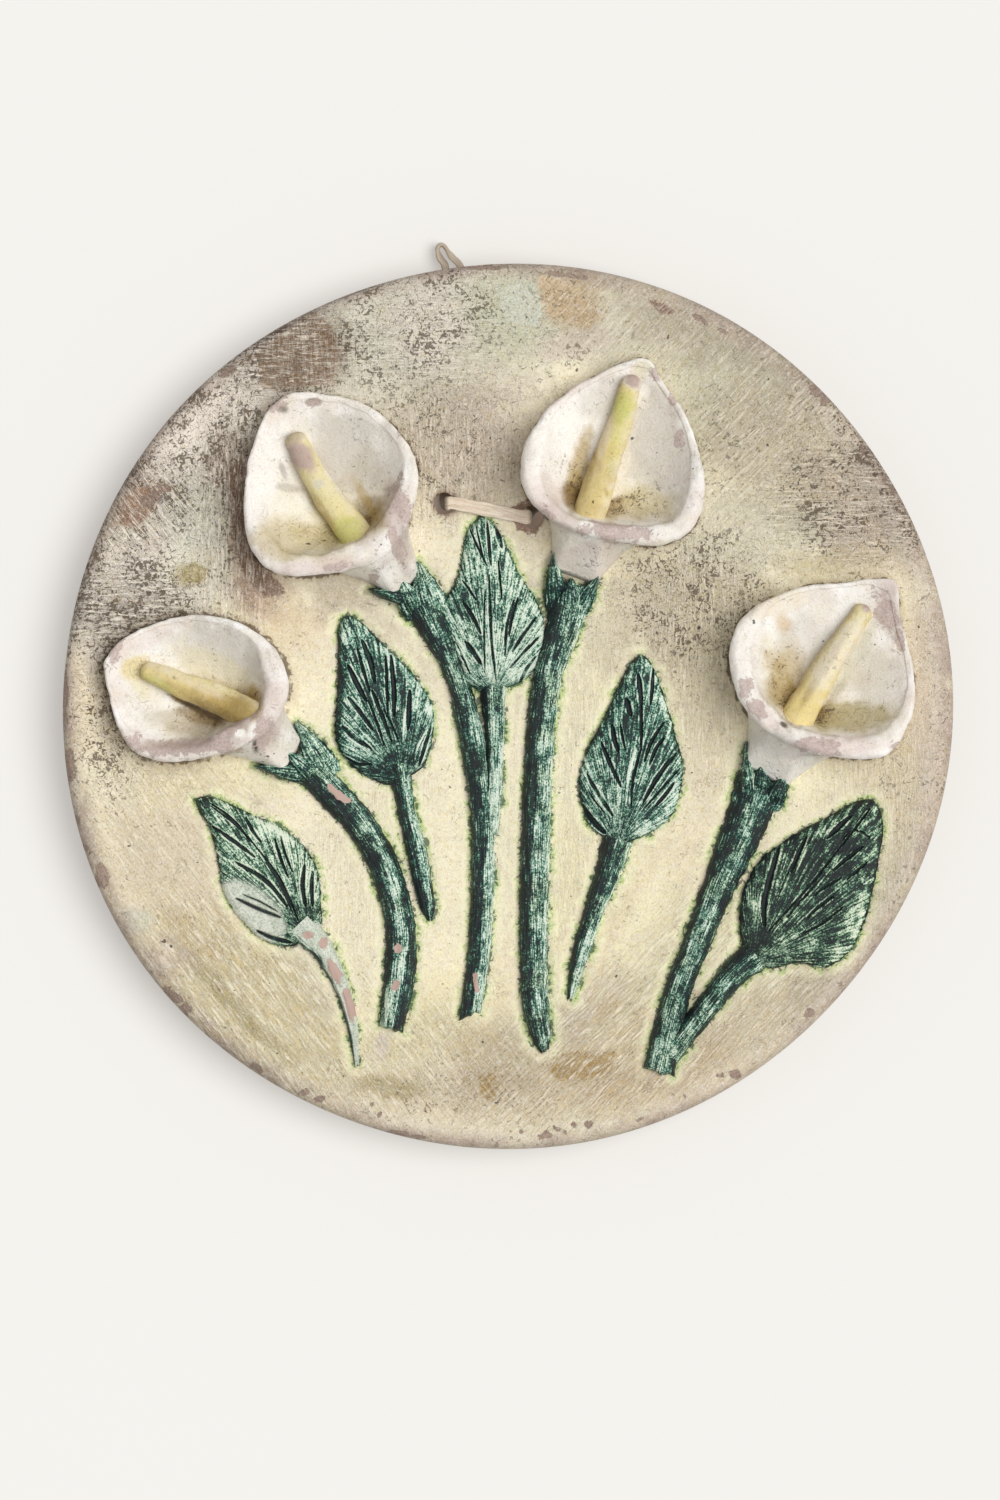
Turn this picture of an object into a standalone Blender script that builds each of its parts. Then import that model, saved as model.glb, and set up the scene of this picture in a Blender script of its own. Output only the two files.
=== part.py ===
# A round wall plate of fired clay with calla lilies in relief, hung by a leather lace.
# It hangs upright: +Z is up, the relief faces -Y, and the flat foot of the back
# lies on the wall in the plane y = 0, with the origin at the foot's centre.

import math

import bmesh
import bpy
from mathutils import Vector

for left_over in list(bpy.data.objects):
    bpy.data.objects.remove(left_over, do_unlink=True)

# The dish
PLATE_RADIUS = 0.140
CENTRE_THICKNESS = 0.010
DISH_DEPTH = 0.008
RIM_BAND = 0.0085
RIM_LIFT = 0.0012
RIM_ROUND = 0.0032
BACK_SLOPE = 0.11
EDGE_WOBBLE = 0.0007
SEGMENTS = 60

# The two holes for the lace, placed as shares of the plate's radius
HOLE_DIAMETER = 0.007
LEFT_HOLE = (-0.140, 0.457)
RIGHT_HOLE = (0.056, 0.427)

# The relief
BED = 0.0025
LIP_THICKNESS = 0.0046
THROAT_LIP_HEIGHT = 0.022
TIP_LIP_HEIGHT = 0.0085
BOWL_FLOOR = 0.004
LIP_FADE = 0.6
THIN_LIP_SHARE = 0.4
SPADIX_BASE_DIAMETER = 0.0106
SPADIX_TIP_DIAMETER = 0.0062
LEAF_RELIEF = 0.0034
VEIN_DEPTH = 0.0012
MIDRIB_DEPTH = 0.0016
STEM_RELIEF = 0.0042
SEPAL_RELIEF = 0.0056

# The lace
LACE_WIDTH = 0.0042
LACE_THICKNESS = 0.0014
LACE_GAP = 0.0003
LOOP_STANDS = 0.0069
KNOT_SIZE = (0.0088, 0.0046, 0.0074)
TAIL_LENGTH = 0.012

# The middle of the loop's strip over the rim, from right to left, as shares of how far
# the loop stands above the rim: sideways from the left hole, and up from the rim
LOOP = (
    (0.67, -0.04), (0.30, 0.35), (0.06, 0.70), (-0.06, 0.855), (-0.19, 0.90),
    (-0.29, 0.84), (-0.35, 0.68), (-0.23, 0.29), (0.0, -0.09),
)

# Each flower: where its mouth is widest, the tip of its lip, its outline, the edge of
# its bowl from the throat's corner and round, the foot of its funnel with the funnel's
# width there, and the axis of its spadix. All are shares of the plate's radius, but for
# its rolled lip: how far it is turned from the throat's side, in radians, and the shares
# of the way from tip to throat at which it starts and is whole.
FLOWERS = {
    "upper_left": {
        "centre": (-0.405, 0.487),
        "outline": (
            (-0.508, 0.693), (-0.350, 0.688), (-0.266, 0.641), (-0.208, 0.562),
            (-0.200, 0.487), (-0.230, 0.390), (-0.290, 0.325), (-0.400, 0.295),
            (-0.500, 0.292), (-0.560, 0.330), (-0.590, 0.410), (-0.578, 0.560),
        ),
        "tip": (-0.508, 0.693),
        "bowl": (
            (-0.272, 0.424), (-0.262, 0.500), (-0.290, 0.585), (-0.370, 0.650),
            (-0.490, 0.645), (-0.538, 0.540), (-0.548, 0.430), (-0.500, 0.345),
            (-0.400, 0.340), (-0.325, 0.375),
        ),
        "throat": (-0.345, 0.410),
        "neck": (-0.215, 0.265),
        "neck_width": 0.080,
        "roll": (-0.26, 0.40, 0.80),
        "spadix": ((-0.340, 0.385), (-0.420, 0.497), (-0.483, 0.612)),
    },
    "upper_right": {
        "centre": (0.240, 0.560),
        "outline": (
            (0.305, 0.782), (0.345, 0.735), (0.405, 0.640), (0.441, 0.520),
            (0.425, 0.410), (0.345, 0.360), (0.235, 0.370), (0.140, 0.395),
            (0.050, 0.460), (0.034, 0.560), (0.095, 0.670), (0.205, 0.745),
        ),
        "tip": (0.305, 0.782),
        "bowl": (
            (0.160, 0.418), (0.090, 0.470), (0.078, 0.560), (0.130, 0.655),
            (0.225, 0.715), (0.308, 0.725), (0.365, 0.630), (0.400, 0.520),
            (0.375, 0.420), (0.270, 0.402),
        ),
        "throat": (0.205, 0.455),
        "neck": (0.148, 0.285),
        "neck_width": 0.105,
        "roll": (0.0, 0.18, 0.62),
        "spadix": ((0.190, 0.440), (0.240, 0.595), (0.287, 0.742)),
    },
    "left": {
        "centre": (-0.695, 0.035),
        "outline": (
            (-0.898, 0.110), (-0.840, 0.165), (-0.720, 0.203), (-0.600, 0.185),
            (-0.510, 0.115), (-0.492, 0.025), (-0.530, -0.055), (-0.610, -0.098),
            (-0.735, -0.126), (-0.835, -0.105), (-0.882, -0.030), (-0.900, 0.060),
        ),
        "tip": (-0.900, 0.085),
        "bowl": (
            (-0.552, -0.010), (-0.540, 0.055), (-0.590, 0.130), (-0.700, 0.170),
            (-0.820, 0.135), (-0.862, 0.065), (-0.845, -0.030), (-0.780, -0.085),
            (-0.690, -0.085), (-0.610, -0.045),
        ),
        "throat": (-0.640, 0.005),
        "neck": (-0.470, -0.120),
        "neck_width": 0.085,
        "roll": (-0.79, 0.30, 0.70),
        "spadix": ((-0.590, -0.015), (-0.708, 0.038), (-0.822, 0.083)),
    },
    "right": {
        "centre": (0.700, 0.065),
        "outline": (
            (0.868, 0.280), (0.885, 0.190), (0.914, 0.070), (0.905, -0.030),
            (0.850, -0.108), (0.750, -0.118), (0.640, -0.090), (0.545, -0.025),
            (0.498, 0.090), (0.530, 0.200), (0.650, 0.264), (0.770, 0.278),
        ),
        "tip": (0.868, 0.280),
        "bowl": (
            (0.622, -0.040), (0.560, 0.040), (0.548, 0.120), (0.590, 0.200),
            (0.690, 0.238), (0.800, 0.245), (0.855, 0.140), (0.868, 0.030),
            (0.830, -0.060), (0.720, -0.068),
        ),
        "throat": (0.668, 0.010),
        "neck": (0.575, -0.165),
        "neck_width": 0.110,
        "roll": (0.0, 0.18, 0.62),
        "spadix": ((0.655, -0.020), (0.730, 0.104), (0.808, 0.225)),
    },
}

# Each leaf: its base, its tip and its half widths to the left and right of the midrib,
# at the stations below, as shares of the leaf's length
STATIONS = (0.0, 0.08, 0.25, 0.45, 0.65, 0.85, 1.0)
LEAVES = {
    "lower_left": {
        "base": (-0.460, -0.501),
        "tip": (-0.693, -0.205),
        "left": (0.06, 0.18, 0.27, 0.25, 0.145, 0.065, 0.02),
        "right": (0.06, 0.19, 0.28, 0.30, 0.22, 0.125, 0.02),
    },
    "left_of_centre": {
        "base": (-0.237, -0.156),
        "tip": (-0.358, 0.201),
        "left": (0.06, 0.20, 0.30, 0.265, 0.175, 0.10, 0.03),
        "right": (0.06, 0.19, 0.29, 0.275, 0.20, 0.105, 0.03),
    },
    "centre": {
        "base": (-0.032, 0.032),
        "tip": (-0.056, 0.427),
        "left": (0.05, 0.155, 0.225, 0.25, 0.16, 0.085, 0.02),
        "right": (0.05, 0.18, 0.30, 0.29, 0.195, 0.11, 0.02),
    },
    "right_of_centre": {
        "base": (0.248, -0.309),
        "tip": (0.300, 0.115),
        "left": (0.05, 0.13, 0.225, 0.22, 0.14, 0.085, 0.02),
        "right": (0.05, 0.165, 0.28, 0.29, 0.225, 0.14, 0.02),
    },
    "lower_right": {
        "base": (0.544, -0.585),
        "tip": (0.833, -0.214),
        "left": (0.06, 0.12, 0.23, 0.255, 0.20, 0.11, 0.03),
        "right": (0.06, 0.14, 0.295, 0.30, 0.235, 0.137, 0.03),
    },
}

# Each stem: points down its middle with its width there, from its flower or leaf down
STEMS = {
    "upper_left_flower": (
        (-0.208, 0.262, 0.085), (-0.165, 0.180, 0.072), (-0.118, 0.075, 0.050),
        (-0.082, -0.060, 0.056), (-0.056, -0.250, 0.052), (-0.056, -0.450, 0.052),
        (-0.066, -0.580, 0.050), (-0.092, -0.722, 0.052),
    ),
    "upper_right_flower": (
        (0.148, 0.275, 0.095), (0.128, 0.180, 0.078), (0.090, 0.060, 0.066),
        (0.072, -0.120, 0.064), (0.062, -0.400, 0.066), (0.064, -0.680, 0.062),
        (0.092, -0.780, 0.030),
    ),
    "left_flower": (
        (-0.478, -0.115, 0.072), (-0.400, -0.190, 0.070), (-0.325, -0.275, 0.068),
        (-0.270, -0.380, 0.068), (-0.240, -0.500, 0.068), (-0.244, -0.620, 0.070),
        (-0.262, -0.728, 0.055),
    ),
    "right_flower": (
        (0.572, -0.170, 0.110), (0.535, -0.270, 0.095), (0.480, -0.400, 0.075),
        (0.425, -0.540, 0.062), (0.380, -0.660, 0.062), (0.340, -0.825, 0.072),
    ),
    "lower_left_leaf": (
        (-0.468, -0.490, 0.078), (-0.418, -0.545, 0.052), (-0.378, -0.620, 0.036),
        (-0.350, -0.710, 0.026), (-0.338, -0.810, 0.010),
    ),
    "left_of_centre_leaf": (
        (-0.244, -0.130, 0.055), (-0.228, -0.230, 0.040), (-0.204, -0.330, 0.046),
        (-0.178, -0.480, 0.030),
    ),
    "centre_leaf": (
        (-0.032, 0.045, 0.060), (-0.028, -0.080, 0.042), (-0.032, -0.200, 0.042),
        (-0.040, -0.290, 0.040),
    ),
    "right_of_centre_leaf": (
        (0.250, -0.300, 0.072), (0.226, -0.380, 0.056), (0.190, -0.480, 0.044),
        (0.160, -0.580, 0.036), (0.143, -0.660, 0.018),
    ),
    "lower_right_leaf": (
        (0.560, -0.560, 0.075), (0.505, -0.610, 0.060), (0.440, -0.690, 0.054),
        (0.362, -0.790, 0.050),
    ),
}

# Each sepal: its root on the stem, its tip and its width
SEPALS = (
    ((-0.190, 0.235), (-0.312, 0.262), 0.040),
    ((-0.200, 0.200), (-0.243, 0.292), 0.062),
    ((-0.160, 0.190), (-0.203, 0.325), 0.080),
    ((0.110, 0.215), (0.104, 0.345), 0.048),
    ((0.145, 0.205), (0.143, 0.288), 0.070),
    ((0.155, 0.210), (0.206, 0.292), 0.050),
    ((-0.440, -0.160), (-0.570, -0.135), 0.038),
    ((-0.420, -0.175), (-0.502, -0.098), 0.050),
    ((-0.400, -0.160), (-0.475, -0.036), 0.070),
    ((0.548, -0.240), (0.538, -0.080), 0.042),
    ((0.570, -0.210), (0.572, -0.128), 0.052),
    ((0.590, -0.230), (0.634, -0.143), 0.052),
)

# Lengths that follow from the ones above
DISH_RADIUS = PLATE_RADIUS - RIM_BAND
HOLE_REACH = min(math.hypot(*LEFT_HOLE), math.hypot(*RIGHT_HOLE)) * PLATE_RADIUS
LACE_ROOM = LACE_THICKNESS + 3 * LACE_GAP
FOOT_RADIUS = HOLE_REACH - HOLE_DIAMETER / 2 - LACE_ROOM / BACK_SLOPE
CAD_COLUMNS = 22


def back_depth(radius):
    """How far the back stands off the wall at a distance from the plate's axis."""
    return max(0.0, radius - FOOT_RADIUS) * BACK_SLOPE


def front_depth(radius):
    """How far the hollow of the dish stands off the wall."""
    share = min(radius / DISH_RADIUS, 1.0)
    return CENTRE_THICKNESS + DISH_DEPTH * share**2.2


def on_face(x, z, height):
    """The point at a height over the dish's face, in front of x and z."""
    return Vector((x, -front_depth(math.hypot(x, z)) - height, z))


def scaled(point):
    """A place given as shares of the plate's radius, in metres."""
    return Vector([value * PLATE_RADIUS for value in point])


def smooth_curve(points, steps, closed=False):
    """Points read from a smooth curve through the given ones, a few on each span."""
    count = len(points)
    spans = count if closed else count - 1
    curve = []
    for span in range(spans):
        if closed:
            near = [points[(span + k) % count] for k in (-1, 0, 1, 2)]
        else:
            near = [points[min(max(span + k, 0), count - 1)] for k in (-1, 0, 1, 2)]
        for step in range(steps):
            t = step / steps
            bend = 2 * near[0] - 5 * near[1] + 4 * near[2] - near[3]
            twist = 3 * near[1] - near[0] - 3 * near[2] + near[3]
            slope = near[2] - near[0]
            curve.append(near[1] + 0.5 * t * (slope + t * (bend + t * twist)))
    if not closed:
        curve.append(points[-1])
    return curve


def read_at(stations, values, t):
    """A value between two stations, eased from one to the next."""
    for i in range(len(stations) - 1):
        if t <= stations[i + 1]:
            share = (t - stations[i]) / (stations[i + 1] - stations[i])
            return values[i] + (values[i + 1] - values[i]) * share
    return values[-1]


def reach(outline, centre, angle):
    """How far the outline lies from the centre in one direction."""
    direction = Vector((math.cos(angle), math.sin(angle)))
    furthest = 0.0
    for i, start in enumerate(outline):
        end = outline[(i + 1) % len(outline)]
        side = end - start
        across = direction.x * side.y - direction.y * side.x
        if abs(across) < 1e-12:
            continue
        gap = start - centre
        along = (gap.x * side.y - gap.y * side.x) / across
        share = (gap.x * direction.y - gap.y * direction.x) / across
        if along > 0 and -1e-9 <= share <= 1 + 1e-9:
            furthest = max(furthest, along)
    return furthest


def hull(points):
    """The convex outline around some points."""
    ordered = sorted(points, key=lambda p: (p.x, p.y))
    outline = []
    for sweep in (ordered, ordered[::-1]):
        side = []
        for p in sweep:
            while len(side) > 1:
                a, b = side[-1] - side[-2], p - side[-1]
                if a.x * b.y - a.y * b.x > 0:
                    break
                side.pop()
            side.append(p)
        outline += side[:-1]
    return outline


def closed_skin(name, rings, first=None, last=None):
    """One closed body from rings of as many points, ended by a point or a flat cap."""
    mesh = bmesh.new()
    rows = [[mesh.verts.new(p) for p in ring] for ring in rings]
    count = len(rows[0])
    for row, after in zip(rows, rows[1:]):
        for i in range(count):
            j = (i + 1) % count
            mesh.faces.new((row[i], row[j], after[j], after[i]))
    for row, pole in ((rows[0], first), (rows[-1], last)):
        if pole is None:
            mesh.faces.new(row)
            continue
        centre = mesh.verts.new(pole)
        for i in range(count):
            mesh.faces.new((row[i], row[(i + 1) % count], centre))
    bmesh.ops.recalc_face_normals(mesh, faces=mesh.faces)
    data = bpy.data.meshes.new(name)
    mesh.to_mesh(data)
    mesh.free()
    data.shade_smooth()
    data.set_sharp_from_angle(angle=math.radians(50))
    return bpy.data.objects.new(name, data)


def dish():
    """The turned slab: hollow front, rounded rim and a back that slopes to a flat foot."""
    crest = front_depth(DISH_RADIUS) + RIM_LIFT
    rim_back = back_depth(PLATE_RADIUS)
    middle = (crest + rim_back) / 2
    profile = [(share * DISH_RADIUS, None) for share in (0.25, 0.5, 0.72, 0.88, 0.99)]
    profile = [(radius, front_depth(radius)) for radius, _ in profile]
    profile += [
        (PLATE_RADIUS - RIM_BAND * 0.70, crest - RIM_LIFT * 0.15),
        (PLATE_RADIUS - RIM_ROUND, crest),
        (PLATE_RADIUS - RIM_ROUND * 0.35, crest - RIM_ROUND * 0.35),
        (PLATE_RADIUS, middle),
        (PLATE_RADIUS - RIM_ROUND * 0.35, rim_back + RIM_ROUND * 0.35),
        (PLATE_RADIUS - RIM_ROUND, back_depth(PLATE_RADIUS - RIM_ROUND)),
        (FOOT_RADIUS, 0.0),
    ]
    rings = []
    for radius, depth in profile:
        ring = []
        for i in range(SEGMENTS):
            angle = 2 * math.pi * i / SEGMENTS
            uneven = math.sin(2 * angle + 0.6) + 0.5 * math.sin(5 * angle + 2.0)
            share = max(0.0, radius - 0.8 * PLATE_RADIUS) / (0.2 * PLATE_RADIUS)
            grown = radius + EDGE_WOBBLE * share * uneven
            ring.append((grown * math.cos(angle), -depth, grown * math.sin(angle)))
        rings.append(ring)
    return closed_skin("plate", rings, first=(0, -front_depth(0), 0))


def eased(low, high, value):
    """A share from 0 to 1 that starts and ends gently."""
    t = min(max((value - low) / (high - low), 0.0), 1.0)
    return t * t * (3 - 2 * t)


def throat_side(flower, angle, turned=0.0):
    """A share from 0 towards the petal's tip to 1 towards its throat."""
    side = flower["tip"] - flower["centre"]
    return (1 - math.cos(angle - turned - math.atan2(side.y, side.x))) / 2


def lip_height(flower, angle):
    """How high the lip stands, low at the petal's tip and high over the throat."""
    share = eased(0.0, 1.0, throat_side(flower, angle))
    return TIP_LIP_HEIGHT + (THROAT_LIP_HEIGHT - TIP_LIP_HEIGHT) * share


def lip_roll(flower, angle):
    """How much of a rolled lip the edge has: none at the tip, all of it at the throat."""
    turned, start, whole = flower["roll"]
    return eased(start, whole, throat_side(flower, angle, turned))


def lip_thickness(flower, angle):
    """How thick the edge is, thin at the petal's tip."""
    share = THIN_LIP_SHARE + (1 - THIN_LIP_SHARE) * lip_roll(flower, angle)
    return LIP_THICKNESS * share


def faded(flower, place):
    """A place on the bowl's edge, moved out towards the outline where the lip is thin."""
    away = place - flower["centre"]
    angle = math.atan2(away.y, away.x)
    room = reach(flower["outline"], flower["centre"], angle) - away.length
    return place + away.normalized() * room * LIP_FADE * (1 - lip_roll(flower, angle))


def funnel_reach(flower, angle, longest=None):
    """How far the cup's foot lies from the centre, drawn in beside its neck."""
    near = reach(flower["foot"], flower["centre"], angle)
    extra = max(0.0, reach(flower["skirt"], flower["centre"], angle) - near)
    if longest is None:
        return extra
    return near + extra * (extra / longest) ** 0.8


def measured(given):
    """A flower with its places in metres and its outlines as smooth closed curves."""
    flower = {key: scaled(given[key]) for key in ("centre", "tip", "throat", "neck")}
    flower["roll"] = given["roll"]
    outline = [scaled(p) for p in given["outline"]]
    corner_first = [scaled(p) for p in given["bowl"]]
    flower["outline"] = smooth_curve(outline, 6, closed=True)
    bowl = smooth_curve(corner_first + corner_first[:1], 6)[:-1]
    flower["bowl"] = [faded(flower, p) for p in bowl]
    flower["spadix"] = [scaled(p) for p in given["spadix"]]
    axis = (flower["neck"] - flower["centre"]).normalized()
    across = Vector((-axis.y, axis.x)) * given["neck_width"] * PLATE_RADIUS / 2
    foot = [flower["neck"] + across, flower["neck"] - across]
    flower["foot"] = [p.lerp(flower["centre"], 0.10) for p in flower["outline"]]
    flower["skirt"] = hull(flower["foot"] + foot)
    return flower


def bowl_height(flower, place):
    """How high the bowl's inside stands over the dish's face at one place."""
    away = place - flower["throat"]
    if away.length < 1e-6:
        return BOWL_FLOOR
    angle = math.atan2(away.y, away.x)
    whole = reach(flower["bowl"], flower["throat"], angle)
    edge = flower["throat"] + whole * Vector((math.cos(angle), math.sin(angle)))
    seen = edge - flower["centre"]
    outward = math.atan2(seen.y, seen.x)
    top = lip_height(flower, outward) - lip_thickness(flower, outward) * 0.35
    steepness = 1.7 + 0.8 * lip_roll(flower, outward)
    return BOWL_FLOOR + (top - BOWL_FLOOR) * min(away.length / whole, 1.0) ** steepness


def cup(name, flower):
    """The petal: a thick lip round an open bowl, and outside it a wall and funnel."""
    centre, throat = flower["centre"], flower["throat"]
    corner = flower["bowl"][0] - centre
    start = math.atan2(corner.y, corner.x)
    bowl_rings = [[], [], []]
    lip_rings = [[], [], [], [], []]
    wall_rings = [[], [], [], []]
    angles = [start + 2 * math.pi * i / CAD_COLUMNS for i in range(CAD_COLUMNS)]
    longest = max(funnel_reach(flower, angle) for angle in angles)
    for angle in angles:
        direction = Vector((math.cos(angle), math.sin(angle)))
        inner = reach(flower["bowl"], centre, angle)
        outer = reach(flower["outline"], centre, angle)
        base = funnel_reach(flower, angle, longest)
        top = lip_height(flower, angle)
        thick = lip_thickness(flower, angle)
        band = outer - inner
        edge = centre + inner * direction
        for ring, t in zip(bowl_rings, (0.35, 0.65, 0.88)):
            place = throat.lerp(edge, t)
            ring.append(on_face(place.x, place.y, bowl_height(flower, place)))
        section = (
            (inner, top - thick * 0.35),
            (inner + 0.30 * band, top - thick * 0.04),
            (outer - 0.30 * band, top),
            (outer, top - thick * 0.40),
            (outer - 0.12 * band, top - thick * 0.85),
        )
        for ring, (radius, height) in zip(lip_rings, section):
            place = centre + radius * direction
            ring.append(on_face(place.x, place.y, height))
        under, below = section[-1]
        for ring, s in zip(wall_rings, (0.35, 0.70, 0.92, None)):
            if s is None:
                radius, height = base, -BED
            else:
                radius = under + (base - under) * s
                height = below * (0.75 * (1 - s) ** 1.3 + 0.25 * math.sqrt(1 - s**4))
            place = centre + radius * direction
            ring.append(on_face(place.x, place.y, height))
    return closed_skin(
        name,
        bowl_rings + lip_rings + wall_rings,
        first=on_face(throat.x, throat.y, BOWL_FLOOR),
        last=on_face(centre.x, centre.y, -BED),
    )


def spadix(name, flower):
    """The rod pressed into the bowl, from under the throat's lip to its rounded tip."""
    root, middle, tip = flower["spadix"]
    hidden = root + (root - middle).normalized() * SPADIX_BASE_DIAMETER * 0.5
    line = smooth_curve([hidden, root, middle, tip], 3)
    rings = []
    sides = 8
    for i, place in enumerate(line):
        t = i / (len(line) - 1)
        radius = SPADIX_BASE_DIAMETER * (1 - t) + SPADIX_TIP_DIAMETER * t
        radius *= 0.5 if i < len(line) - 1 else 0.32
        ahead = (line[min(i + 1, len(line) - 1)] - line[max(i - 1, 0)]).normalized()
        across = Vector((ahead.y, -ahead.x))
        bed = bowl_height(flower, place if i > 2 else root)
        axis = bed + 0.6 * radius
        ring = []
        for k in range(sides):
            turn = 2 * math.pi * k / sides
            spot = place + across * radius * math.cos(turn)
            below = math.sin(turn) < -0.1
            height = BOWL_FLOOR / 2 if below else axis + radius * math.sin(turn)
            ring.append(on_face(spot.x, spot.y, height))
        rings.append(ring)
    return closed_skin(name, rings)


def leaf(name, base, tip, left, right, relief, veins=0):
    """A low crowned leaf, its rows slanting up to the edge along the carved veins."""
    along = tip - base
    across = Vector((along.y, -along.x))
    row_count = 2 * veins + 2 if veins else 4
    places = (-1.0, -0.75, -0.16, 0.0, 0.16, 0.75, 1.0) if veins else (-1.0, 0.0, 1.0)
    rings = []
    for row in range(row_count + 1):
        t = row / row_count
        lead = 0.17 * math.sqrt(4 * t * (1 - t)) if veins else 0.0
        groove = VEIN_DEPTH if veins and row % 2 == 0 and 0 < t < 1 else 0.0
        top, bottom = [], []
        for s in places:
            where = min(t + lead * abs(s), 1.0)
            width = read_at(STATIONS, right if s > 0 else left, where)
            spot = base + along * where + across * width * s
            fall = 0.45 * s * s + 0.12 * (2 * t - 1) ** 2
            height = relief * (1 - fall) - (groove if 0 < abs(s) < 1 else 0)
            if s == 0 and 0 < t < 1:
                height -= MIDRIB_DEPTH if veins else -VEIN_DEPTH
            top.append(on_face(spot.x, spot.y, height))
            if abs(s) == 1 or s == 0:
                bottom.append(on_face(spot.x, spot.y, -BED))
        rings.append(top + bottom[::-1])
    return closed_skin(name, rings)


def stem(name, stations):
    """A half-round stem along a smooth line of varying width."""
    line = smooth_curve([scaled(p) for p in stations], 2)
    rings = []
    for i, here in enumerate(line):
        ahead = line[min(i + 1, len(line) - 1)] - line[max(i - 1, 0)]
        ahead = ahead.xy.normalized()
        across = Vector((ahead.y, -ahead.x)) * here.z / 2
        height = min(STEM_RELIEF, here.z * 0.55)
        section = (
            (-1.0, -BED), (-1.0, 0.30 * height), (-0.55, 0.86 * height),
            (0.05, height), (0.6, 0.84 * height), (1.0, 0.25 * height), (1.0, -BED),
        )
        ring = []
        for s, rise in section:
            spot = here.xy + across * s
            ring.append(on_face(spot.x, spot.y, rise))
        rings.append(ring)
    return closed_skin(name, rings)


def lace_hole(name, place):
    """A straight cutter through the slab, open a little in front of its face."""
    spot = scaled(place)
    depth = front_depth(spot.length) + STEM_RELIEF
    rings = []
    for y in (0.004, -depth):
        ring = []
        for i in range(16):
            turn = 2 * math.pi * i / 16
            x = spot.x + HOLE_DIAMETER / 2 * math.cos(turn)
            z = spot.y + HOLE_DIAMETER / 2 * math.sin(turn)
            ring.append((x, y, z))
        rings.append(ring)
    return closed_skin(name, rings)


def strip(name, stations):
    """A flat strip through stations of a place and the direction of its width."""
    rings = []
    for i, (place, wide) in enumerate(stations):
        before = stations[max(i - 1, 0)][0]
        after = stations[min(i + 1, len(stations) - 1)][0]
        ahead = (after - before).normalized()
        side = (wide - ahead * wide.dot(ahead)).normalized()
        flat = ahead.cross(side)
        corners = ((-1, -1), (1, -1), (1, 1), (-1, 1))
        rings.append([
            place + side * a * LACE_WIDTH / 2 + flat * b * LACE_THICKNESS / 2
            for a, b in corners
        ])
    return closed_skin(name, rings)


def lace_route():
    """The lace from the knot over the loop, down and through both holes to the knot."""
    left, right = scaled(LEFT_HOLE), scaled(RIGHT_HOLE)
    off_wall = -(LACE_GAP + LACE_THICKNESS / 2)
    on_edge = -(2 * LACE_GAP + LACE_WIDTH / 2)
    face_left = -front_depth(left.length) - LACE_GAP - LACE_THICKNESS / 2
    face_right = -front_depth(right.length) - LACE_GAP - LACE_THICKNESS / 2
    inside = -front_depth(left.length) / 2 - 3 * LACE_GAP
    bore = HOLE_DIAMETER / 2
    depth, width, flat = Vector((0, 1, 0)), Vector((0, 0, 1)), Vector((1, 0, 0))
    lean = Vector((0.45, 0.89, 0))
    knot = knot_centre()
    end = KNOT_SIZE[2] / 2 + 2 * LACE_GAP
    slack = (PLATE_RADIUS - left.y) / 5
    route = [
        (knot + Vector((-LACE_WIDTH / 4, 0, end)), flat),
        (Vector((left.x + 0.70 * slack, off_wall, PLATE_RADIUS - 1.3 * slack)), flat),
        (Vector((left.x + 0.42 * slack, on_edge, PLATE_RADIUS - 0.35 * slack)), lean),
    ]
    for i, (sideways, up) in enumerate(LOOP):
        place = Vector((
            left.x + sideways * LOOP_STANDS, on_edge, PLATE_RADIUS + up * LOOP_STANDS
        ))
        route.append((place, depth if 1 < i < 7 else lean))
    route += [
        (Vector((left.x, on_edge, PLATE_RADIUS - 0.35 * slack)), lean),
        (Vector((left.x, off_wall, PLATE_RADIUS - 1.6 * slack)), flat),
        (Vector((left.x, off_wall, left.y + 1.3 * slack)), flat),
        (Vector((left.x, off_wall, left.y + 1.5 * bore)), flat),
        (Vector((left.x, off_wall - 0.3 * bore, left.y + 0.35 * bore)), flat + width),
        (Vector((left.x + 0.1 * bore, inside, left.y)), width),
        (Vector((left.x + 0.3 * bore, face_left + 0.35 * bore, left.y)), width),
        (Vector((left.x + 0.85 * bore, face_left, left.y)), width),
        (Vector((0.5 * (left.x + right.x), face_left, 0.5 * (left.y + right.y))), width),
        (Vector((right.x - 0.85 * bore, face_right, right.y)), width),
        (Vector((right.x - 0.3 * bore, face_right + 0.35 * bore, right.y)), width),
        (Vector((right.x - 0.1 * bore, inside, right.y)), width),
        (Vector((right.x, off_wall - 0.3 * bore, right.y + 0.35 * bore)), flat + width),
        (Vector((right.x, off_wall, right.y + 1.5 * bore)), flat),
        (Vector((right.x - 1.4 * bore, off_wall, right.y + 4.9 * bore)), flat),
        (knot + Vector((LACE_WIDTH * 0.86, 0, -end)), flat),
    ]
    return route


def knot_centre():
    """The knot lies behind the plate, halfway from the holes to the rim."""
    left, right = scaled(LEFT_HOLE), scaled(RIGHT_HOLE)
    rise = 0.42 * (PLATE_RADIUS - left.y)
    sideways = 0.2 * left.x + 0.3 * right.x
    return Vector((sideways, -KNOT_SIZE[1] / 2 - LACE_GAP, left.y + rise))


def lace(name):
    """The leather lace as one flat strip along its smooth route."""
    route = lace_route()
    places = smooth_curve([place for place, _ in route], 3)
    widths = smooth_curve([wide for _, wide in route], 3)
    return strip(name, list(zip(places, widths)))


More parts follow.
